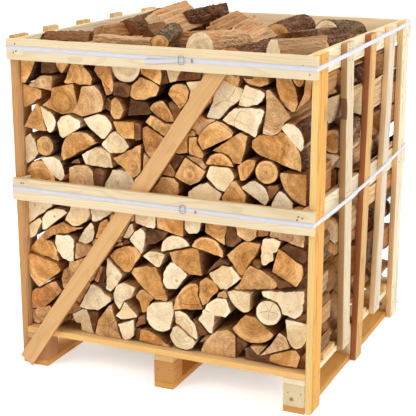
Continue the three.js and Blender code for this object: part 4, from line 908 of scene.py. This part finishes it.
# One more log of the front row lies on the deck. Then, for each row: its node, whether it is turned
# over in x and in z, its scale, its front and back, its top, and the number of steps along a log.
LOW_LOG = ("brown", [300, 144], [424, 144], [418, 178], [360, 190], [306, 186])
rows = [
    ("log_row_front", 1, 1, 1.0, (-507.0, -254.8), 1128, 8),
    ("log_row_second", -1, 1, 1.16, (-253.2, -0.8), 1150, 4),
    ("log_row_third", 1, -1, 1.16, (0.8, 253.2), 1150, 4),
    ("log_row_back", -1, -1, 1.08, (254.8, 507.0), 1124, 6),
]
for name, flip_x, flip_z, scale, (near, far), top, stations in rows:
    pile = Pile()
    rise = (142.5 + top) / 2
    for tone, *corners in FRONT_LOGS + [LOW_LOG] * (name == "log_row_front"):
        drawn = [[x * flip_x * scale, z if scale == 1 else rise + (z - 627) * flip_z * scale,
                  *(b * scale for b in bow)] for x, z, *bow in corners]
        if flip_x * flip_z < 0:
            drawn = [[*drawn[i][:2], *drawn[i - 1][2:]] for i in range(len(drawn) - 1, -1, -1)]
        middle_x, middle_z = np.mean([point[:2] for point in drawn], axis=0)
        if abs(middle_x) > 518 or not 150 < middle_z < top - 6:
            continue
        play = rng.uniform(0, 1) ** 1.5
        y0 = near + (13 * play + 1 if name == "log_row_front" else 3 * rng.uniform(0, 1))
        y1 = far - (13 * play + 1 if name == "log_row_back" else 3 * rng.uniform(0, 1))
        lowest, highest = near + 0.2, far - 0.2

        def to_place(t, a, b, y1=y1, lowest=lowest, highest=highest):
            return (a * mm, min(highest, max(lowest, y1 - t)) * mm, b * mm)

        pile.add_log(drawn, y1 - y0, to_place, tone, 8.0 if scale == 1 else 11.0, stations, row_limit(top))
    pile.finished(f"split_logs_{name.split('_')[-1]}_row", "log_wood", [name])

# Heap of logs
# More logs lie loose on top of the rows, some across them and some on end against their neighbours,
# so that the heap rises above the boards towards the right.
# For each log: its name, the shape of its end, width, height, length, middle, heading, pitch and roll.
TOP_LOGS = [
    ("top_log_peak", "slab", 138, 62, 236, (-173, 0, 1189), 86, 5, 46),
    ("top_log_dark_bark", "quarter", 88, 66, 180, (-114, 100, 1201), 62, 4, 150),
    ("top_log_long_split", "wedge", 80, 66, 245, (21, 20, 1190), 90, 5, -24),
    ("top_log_big_split", "slab", 126, 58, 230, (171, -140, 1170), 92, 5, 42),
    ("top_log_bark_round", "half", 98, 72, 250, (380, 220, 1171), 84, -7, 0),
    ("top_log_tan_face", "quarter", 88, 60, 190, (438, -400, 1182), 56, 1, 4),
    ("top_log_red_bark", "half", 128, 54, 236, (286, -400, 1167), 74, 2, 0),
    ("top_log_half_end", "half", 112, 70, 236, (155, -370, 1186), 80, -3, 0),
    ("top_log_grey_bark", "round", 64, 56, 235, (-31, -380, 1190), 104, 2, 0),
    ("top_log_flat", "slab", 80, 40, 232, (-136, -450, 1173), 2, -1, 6),
]
HEAP = [
    ("half", 104, 76, 236, (191, 200, 1168), 86, 3, 0),
    ("slab", 104, 42, 200, (338, 0, 1169), 74, -2, -6),
    ("half", 84, 56, 226, (439, -40, 1155), 80, -2, 0),
    ("wedge", 70, 52, 190, (-13, -280, 1166), 20, 6, 10),
    ("half", 96, 52, 210, (-454, -340, 1161), 12, 1, 0),
    ("quarter", 84, 62, 160, (-350, -160, 1164), 82, 2, 0),
    ("half", 96, 76, 245, (-303, 0, 1189), 84, 4, 0),
    ("wedge", 66, 58, 200, (-166, -160, 1176), 92, -2, 0),
]
# Under them the logs lie in four rows of seven, along the rows below.
kinds_in_turn = ("quarter", "slab", "half", "half", "quarter", "wedge", "wedge")
kind_heights = {"quarter": 62, "slab": 50, "half": 54, "wedge": 66}
middle_levels = (1092, 1104, 1116, 1116, 1124, 1124, 1124)
under_rows = [
    (-384, 238, (1134,) * 7), (-128, 250, middle_levels), (128, 250, middle_levels),
    (384, 238, (1096, *(1108,) * 6)),
]
for row, (y, length, levels) in enumerate(under_rows):
    for column, z in enumerate(levels):
        count = row * 7 + column
        kind = kinds_in_turn[(column - 2 * row) % 7]
        HEAP.append((kind, 119 if count % 2 else 112, kind_heights[kind], length,
                     (144 * column - 432, y, z), 84 + count * 5 % 13, count % 3 - 1, count % 4 * 3))


def end_shape(kind, width, height):
    """The corners of a log's end about its middle; a third number bows the edge after its corner."""
    w, h = width / 2, height / 2
    return {
        "wedge": [[-w, -h, h * 0.3], [w, -h], [w * 0.15, h]],
        "quarter": [[-w, -h * 0.7], [0, -h], [w, -h * 0.8, h * 0.2], [w * 0.55, h * 0.75], [-w * 0.3, h]],
        "half": [[w, -h], [w, -h * 0.6, h * 1.4], [-w, -h * 0.6], [-w, -h]],
        "slab": [[-w, -h], [w, -h * 0.8, 2], [w * 0.9, h * 0.7], [-w * 0.85, h, 3]],
        "round": [[-w, 0, h], [w, 0, h]],
    }[kind]


def add_heap_log(pile, kind, width, height, length, place, heading, pitch, roll, tone, look=None):
    """One log of the heap, kept between the boards and rails and under the top of the highest."""
    turn = (Matrix.Rotation(math.radians(heading), 3, "Z") @ Matrix.Rotation(math.radians(-pitch), 3, "Y")
            @ Matrix.Rotation(math.radians(roll), 3, "X"))
    origin = Vector(place)

    def to_place(t, a, b):
        point = origin + turn @ Vector((t - length / 2, a, b))
        x = min(RAIL_LIMIT, max(-RAIL_LIMIT, point.x))
        reach = ABOVE_BOARDS_LIMIT if point.z > BOARD_TOP else BOARD_LIMIT
        y = min(reach, max(-reach, point.y))
        return (x * mm, y * mm, min(heap_top, point.z) * mm)

    pile.add_log(end_shape(kind, width, height), length, to_place, tone, 5.0, 24, None, 1.5,
                 SPLIT if look == "bare" else BARK, 2.0 if look == "weathered" else None)


ABOVE_BOARDS_LIMIT = 526
BOARD_LIMIT = 508
BOARD_TOP = 1188
heap_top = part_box("top_log_peak")[1][2] / mm - 0.2
heap_tones = ["orange", "brown", "tan", "tan", "brown", "tan", "brown", "brown"]
heap_looks = {4: "bare", 6: "bare"}
heap_tones += ["brown", "tan", "brown", "orange", "brown", "brown", "tan"] * 4
heap = Pile()
for number, log in enumerate(HEAP):
    add_heap_log(heap, *log, heap_tones[number], heap_looks.get(number))
heap.finished("heaped_logs", "log_wood", ["top_layer"])
top_tones = {
    "top_log_peak": "pale", "top_log_big_split": "pale", "top_log_half_end": "pale",
    "top_log_grey_bark": "orange", "top_log_flat": "pale", "top_log_red_bark": "orange",
    "top_log_long_split": "tan", "top_log_tan_face": "pale", "top_log_bark_round": "pale",
    "top_log_dark_bark": "brown",
}
top_looks = {"top_log_half_end": "bare", "top_log_flat": "bare", "top_log_grey_bark": "weathered",
             "top_log_bark_round": "weathered"}
for name, *log in TOP_LOGS:
    single = Pile()
    add_heap_log(single, *log, top_tones[name], top_looks.get(name))
    single.finished(name.replace("top_log", "loose_log"), "log_wood", [name])

# Straps and buckles
# Two white woven-pattern plastic straps go round the crate. Each is pulled tight through a buckle of
# bent wire at the front, and the end of the upper one hangs loose.
strap_material, strap = new_finish("strap_plastic")
strap_place = strap.node("ShaderNodeTexCoord", {}, {}, 3)
strap_x, strap_y, strap_z = strap_place.axes()
strap_run = strap_x + strap_y
weave = (strap_run * 1400).math("SINE", strap_run * 1400) * strap_z.math("SINE", strap_z * 1400)
haze = strap_place.noise(40, 2.0)
strap_colour = haze.blend((*tint("D3CED3"), 1), (*tint("E0DBDF"), 1))
close_finish(strap, strap_colour, 0.38, weave, 0.35, 0.5)
buckle_material, wire = new_finish("buckle_wire")
wire_place = wire.node("ShaderNodeTexCoord", {}, {}, 3)
dull = wire_place.noise(300, 3.0)
wire_colour = dull.blend((*tint("8C8F93"), 1), (*tint("B9BBBD"), 1))
close_finish(wire, wire_colour, 0.3 + dull * 0.25, dull, 0.3, 0.5, 0.85)


def shaped(name, points, edges, tree, inputs, facings=None):
    """The mesh that a Geometry Nodes tree makes from bare points, with the modifier's work applied."""
    source = bpy.data.meshes.new(name)
    source.from_pydata(points, edges, [])
    if facings is not None:
        put_attribute(source, "facing", facings)
    carrier = bpy.data.objects.new(name, source)
    bpy.context.scene.collection.objects.link(carrier)
    modifier = carrier.modifiers.new(name, "NODES")
    modifier.node_group = tree
    for item in tree.interface.items_tree:
        if item.in_out == "INPUT" and item.name in inputs:
            modifier[item.identifier] = inputs[item.name]
    evaluated = carrier.evaluated_get(bpy.context.evaluated_depsgraph_get())
    made = bpy.data.meshes.new_from_object(evaluated)
    bpy.data.objects.remove(carrier)
    return made


def new_tree(name, sockets):
    tree = bpy.data.node_groups.new(name, "GeometryNodeTree")
    tree.interface.new_socket("Geometry", in_out="INPUT", socket_type="NodeSocketGeometry")
    for socket_name, kind in sockets.items():
        tree.interface.new_socket(socket_name, in_out="INPUT", socket_type=kind)
    tree.interface.new_socket("Geometry", in_out="OUTPUT", socket_type="NodeSocketGeometry")
    start = Finish(tree)
    given = start.node("NodeGroupInput")
    group = {item.name: Finish(tree, given.socket.node.outputs[i])
             for i, item in enumerate(i for i in tree.interface.items_tree if i.in_out == "INPUT")}
    return tree, start, group


ribbon_tree, ribbon, ribbon_in = new_tree("ribbon_along_path", {
    "Width": "NodeSocketFloat", "Thickness": "NodeSocketFloat", "Material": "NodeSocketMaterial"})
ribbon_path = ribbon.node("GeometryNodeMeshToCurve", {}, {"Mesh": ribbon_in["Geometry"]})
ribbon_path = ribbon.node("GeometryNodeSetCurveNormal", {"mode": "Z_UP"}, {"Curve": ribbon_path})
ribbon_profile = ribbon.node("GeometryNodeCurvePrimitiveQuadrilateral", {"mode": "RECTANGLE"}, {
    "Width": ribbon_in["Thickness"], "Height": ribbon_in["Width"]})
ribbon_mesh = ribbon.node("GeometryNodeCurveToMesh", {}, {
    "Curve": ribbon_path, "Profile Curve": ribbon_profile, "Fill Caps": True})
ribbon_mesh = ribbon.node("GeometryNodeRealizeInstances", {}, {"Geometry": ribbon_mesh})
ribbon_mesh = ribbon.node("GeometryNodeSetMaterial", {}, {
    "Geometry": ribbon_mesh, "Material": ribbon_in["Material"]})
ribbon.node("NodeGroupOutput", {}, {"Geometry": ribbon_mesh})

wire_tree, bend, wire_in = new_tree("wire_along_path", {
    "Radius": "NodeSocketFloat", "Sides": "NodeSocketInt", "Material": "NodeSocketMaterial"})
wire_path = bend.node("GeometryNodeMeshToCurve", {}, {"Mesh": wire_in["Geometry"]})
wire_profile = bend.node("GeometryNodeCurvePrimitiveCircle", {}, {
    "Radius": wire_in["Radius"], "Resolution": wire_in["Sides"]})
wire_mesh = bend.node("GeometryNodeCurveToMesh", {}, {
    "Curve": wire_path, "Profile Curve": wire_profile, "Fill Caps": True})
wire_mesh = bend.node("GeometryNodeRealizeInstances", {}, {"Geometry": wire_mesh})
wire_mesh = bend.node("GeometryNodeSetMaterial", {}, {"Geometry": wire_mesh, "Material": wire_in["Material"]})
bend.node("NodeGroupOutput", {}, {"Geometry": wire_mesh})

STRAP_WIDTH = 15
STRAP_THICK = 1.2
POST_FACE = 550
STRAP_REACH = 550.9
strap_heights = {
    "top": [(-1, -1, 1146), (0.1, -1, 1142), (1, -1, 1139), (1, -0.4, 1146), (1, 1, 1167), (0, 1, 1160),
            (-1, 1, 1154)],
    "middle": [(-1, -1, 660), (1, -1, 652), (1, -0.5, 650), (1, 0, 657), (1, 0.5, 670), (1, 1, 690),
               (-1, 1, 676)],
}


def loop_points(heights):
    """Points along the strap, bent round the corners of the crate."""
    corner = STRAP_REACH - POST_FACE
    points = []
    for x, y, z in heights:
        if abs(x) == 1 and abs(y) == 1:
            first = {(-1, -1): 180, (1, -1): 270, (1, 1): 0, (-1, 1): 90}[(x, y)]
            for turn in (4, 30, 60, 86):
                angle = math.radians(first + turn)
                points.append((x * POST_FACE + corner * math.cos(angle),
                               y * POST_FACE + corner * math.sin(angle), z))
        else:
            points.append((x * (STRAP_REACH if abs(x) == 1 else POST_FACE),
                           y * (STRAP_REACH if abs(y) == 1 else POST_FACE), z))
    return [tuple(c * mm for c in p) for p in points]


def chain(count, closed):
    edges = [(i, i + 1) for i in range(count - 1)]
    return edges + [(count - 1, 0)] if closed else edges


for level, heights in strap_heights.items():
    points = loop_points(heights)
    mesh = shaped(f"plastic_strap_{level}", points, chain(len(points), True), ribbon_tree, {
        "Width": STRAP_WIDTH * mm, "Thickness": STRAP_THICK * mm, "Material": strap_material})
    keep(mesh, f"plastic_strap_{level}", "strap_plastic", [f"strap_{level}"])
tail_points = [(112, -552.3, 1141), (98, -553.3, 1141), (84, -553.6, 1139.5), (56, -554.6, 1137),
               (30, -555.4, 1134), (4, -555.9, 1132), (-22, -556.2, 1130)]
tail_points = [tuple(c * mm for c in p) for p in tail_points]
tail_mesh = shaped("strap_tail", tail_points, chain(len(tail_points), False), ribbon_tree, {
    "Width": 13.6 * mm, "Thickness": 1.1 * mm, "Material": strap_material})
keep(tail_mesh, "strap_tail", "strap_plastic", [])
BUCKLE_X = 103
BUCKLE_HALF_WIDTH = 5.5
BUCKLE_HALF_HEIGHT = 9.5
BUCKLE_BEND = 4
for level, z, y in (("top", 1141, -555.4), ("middle", 656, -553.4)):
    points = []
    for quarter, sx, sz in ((0, 1, 1), (1, -1, 1), (2, -1, -1), (3, 1, -1)):
        for part in range(4):
            turn = (quarter + part / 3) * math.pi / 2
            x_bend = BUCKLE_X + sx * BUCKLE_HALF_WIDTH + BUCKLE_BEND * math.cos(turn)
            z_bend = z + sz * BUCKLE_HALF_HEIGHT + BUCKLE_BEND * math.sin(turn)
            points.append((x_bend * mm, y * mm, z_bend * mm))
    mesh = shaped(f"wire_buckle_{level}", points, chain(len(points), True), wire_tree, {
        "Radius": 1.15 * mm, "Sides": 8, "Material": buckle_material})
    mesh.shade_smooth()
    keep(mesh, f"wire_buckle_{level}", "buckle_wire", [f"buckle_{level}"])

clip_material, clip = new_finish("brown_clip")
clip_place = clip.node("ShaderNodeTexCoord", {}, {}, 3)
clip_speckle = clip_place.noise(900, 2.0)
close_finish(clip, clip_speckle.blend((*tint("BE8C5C"), 1), (*tint("A5774B"), 1)), 0.6, clip_speckle, 0.4)
for level, x, low_z, high_z, y in (("top", 140, 1134.5, 1147.5, -555.7), ("middle", 149, 647, 656, -553.9)):
    clip_mesh = shaped(f"strap_clip_{level}", [(x * mm, y * mm, low_z * mm), (x * mm, y * mm, high_z * mm)],
                       chain(2, False), ribbon_tree, {
                           "Width": 0.8 * mm, "Thickness": 6 * mm, "Material": clip_material})
    keep(clip_mesh, f"strap_clip_{level}", "buckle_wire", [])

# Nails
# Round-headed steel nails hold the boards: two or three where each board crosses another, driven a
# little unevenly, their heads dull and slightly sunk.
nail_material, steel = new_finish("nail_steel")
steel_place = steel.node("ShaderNodeTexCoord", {}, {}, 3)
stain = steel_place.noise(400, 2.0)
close_finish(steel, stain.blend((*tint("5E5A55"), 1), (*tint("8B857C"), 1)), 0.5, stain, 0.2, 0.4, 0.6)
nail_tree, drive, nail_in = new_tree("nails_at_points", {
    "Head Radius": "NodeSocketFloat", "Head Thickness": "NodeSocketFloat", "Material": "NodeSocketMaterial"})
nail_head = drive.node("GeometryNodeMeshCylinder", {"fill_type": "NGON"}, {
    "Vertices": 12, "Radius": nail_in["Head Radius"], "Depth": nail_in["Head Thickness"]})
nail_way = drive.node("GeometryNodeInputNamedAttribute", {"data_type": "FLOAT_VECTOR"}, {"Name": "facing"})
nail_turn = drive.node("FunctionNodeAlignRotationToVector", {"axis": "Z"}, {"Vector": nail_way})
nails = drive.node("GeometryNodeInstanceOnPoints", {}, {
    "Points": nail_in["Geometry"], "Instance": nail_head, "Rotation": nail_turn})
nails = drive.node("GeometryNodeRealizeInstances", {}, {"Geometry": nails})
nails = drive.node("GeometryNodeSetMaterial", {}, {"Geometry": nails, "Material": nail_in["Material"]})
drive.node("NodeGroupOutput", {}, {"Geometry": nails})
nail_points = []
nail_facings = []


def nail(x, y, z, facing):
    """A nail near a point, its head just proud of the wood that it faces out of."""
    along = np.array(facing, dtype=float)
    play = rng.normal(0, 1.6, 3) * (1 - np.abs(along))
    nail_points.append(tuple((np.array((x, y, z)) + play) * mm))
    nail_facings.append(tuple(along + rng.normal(0, 0.06, 3)))


BOARD_FACE = 549.7
BLOCK_FACE = 529.7
SLAT_FOOT = 105
SLAT_LENGTH = 1075
for side in (-1, 1):
    face_y = side * BOARD_FACE
    for z in (1131, 1152):
        nail(-521, face_y, z, (0, side, 0))
        nail(-509, face_y, z + 6, (0, side, 0))
    for x, z in ((-516, 678), (-505, 678), (-509, 655), (497, 676), (514, 671), (496, 664), (507, 1146),
                 (522, 1142), (529, 1122)):
        nail(x, face_y, z, (0, side, 0))
    for node, (foot, top, width) in upright_feet.items():
        if ("right" in node) != (side > 0):
            continue
        for z in (1160, 1122, 676, 638, 128):
            share = (z - SLAT_FOOT) / SLAT_LENGTH
            edge = foot + (top - foot) * share
            for part in (0.3, 0.7):
                nail(side * BOARD_FACE, edge + width * part, z, (side, 0, 0))
    for edge in (-485, 484):
        for z in (1160, 1122, 676, 638, 126, 60):
            for part in (-22, 22):
                nail(side * BOARD_FACE, edge + part, z, (side, 0, 0))
    for x in (-490, 16, 490):
        for part in (-20, 20):
            nail(x + part, side * BLOCK_FACE, 72, (0, side, 0))
nail_mesh = shaped("nail_heads", nail_points, [], nail_tree, {
    "Head Radius": 3.6 * mm, "Head Thickness": 0.6 * mm, "Material": nail_material}, nail_facings)
keep(nail_mesh, "nail_heads", "buckle_wire", [])

# Floor and light
# A sheet of plain white paper lies under the crate and runs up behind it as the backdrop. It glows past
# the edge of the crate; under the crate it is bluer and glows less, as a painted shadow. Three large soft
# lamps light the front, the side and the top.
floor_mesh = bpy.data.meshes.new("studio_floor")
FLOOR_REACH = 45
SWEEP_RADIUS = 1.5
SWEEP_START = 3.5
BACKDROP_HEIGHT = 9
sweep = [(SWEEP_START + SWEEP_RADIUS * math.sin(t), SWEEP_RADIUS - SWEEP_RADIUS * math.cos(t))
         for t in np.linspace(0, math.pi / 2, 16)]
profile = [(-FLOOR_REACH, 0)] + sweep + [(SWEEP_START + SWEEP_RADIUS, BACKDROP_HEIGHT)]
floor_verts = [(x, y, z) for x in (-FLOOR_REACH, FLOOR_REACH) for y, z in profile]
step = len(profile)
floor_mesh.from_pydata(floor_verts, [], [[i, i + step, i + step + 1, i + 1] for i in range(step - 1)])
floor_mesh.shade_smooth()
floor = bpy.data.objects.new("studio_floor", floor_mesh)
bpy.context.scene.collection.objects.link(floor)
paper, paper_start = new_finish("white_paper")
paper_place = paper_start.node("ShaderNodeTexCoord", {}, {}, 3)
paper_grain = paper_place.noise(3, 2.0)
paper_x, paper_y = paper_place.axes()[:2]
crate_edge = cad_box[1][0]
past_crate = paper_place.math("MAXIMUM", abs(paper_x), abs(paper_y)) - crate_edge
# Painted shadow: under the crate the paper is bluer and glows less, fading out towards the crate's edge.
out_of_painted_shadow = past_crate.between(-0.50, -0.10)
paper_colour_with_painted_shadow = out_of_painted_shadow.blend((0.60, 0.72, 0.82, 1), (0.82, 0.87, 0.915, 1))
paper_colour_with_painted_shadow = (paper_grain * 0.2).blend(paper_colour_with_painted_shadow, (0.85, 0.89, 0.92, 1))
paper_glow_with_painted_shadow = out_of_painted_shadow.blend((0.20, 0.26, 0.31, 1), (0.47, 0.495, 0.52, 1))
close_finish(paper_start, paper_colour_with_painted_shadow, 0.9, paper_grain, 0.0, 0.1, glow=1.0, glow_colour=paper_glow_with_painted_shadow)
floor_mesh.materials.append(paper)


def soft_lamp(name, place, size, power):
    """A square lamp that faces the middle of the crate."""
    lamp = bpy.data.lights.new(name, "AREA")
    lamp.size = size
    lamp.energy = power
    lit = bpy.data.objects.new(name, lamp)
    bpy.context.scene.collection.objects.link(lit)
    lit.location = place
    lit.rotation_euler = (Vector((0, 0, 0.55)) - Vector(place)).to_track_quat("-Z", "Y").to_euler()


soft_lamp("key_lamp", (-2.4, -4.2, 4.0), 2.2, 118)
soft_lamp("side_lamp", (4.6, -1.2, 2.6), 2.4, 84)
soft_lamp("top_lamp", (0.0, 0.3, 5.0), 3.0, 95)
world = bpy.data.worlds.new("studio_air")
bpy.context.scene.world = world
world.use_nodes = True
background = world.node_tree.nodes["Background"]
background.inputs["Color"].default_value = (1, 1, 1, 1)
background.inputs["Strength"].default_value = 0.36
bpy.context.scene.view_settings.view_transform = "Standard"
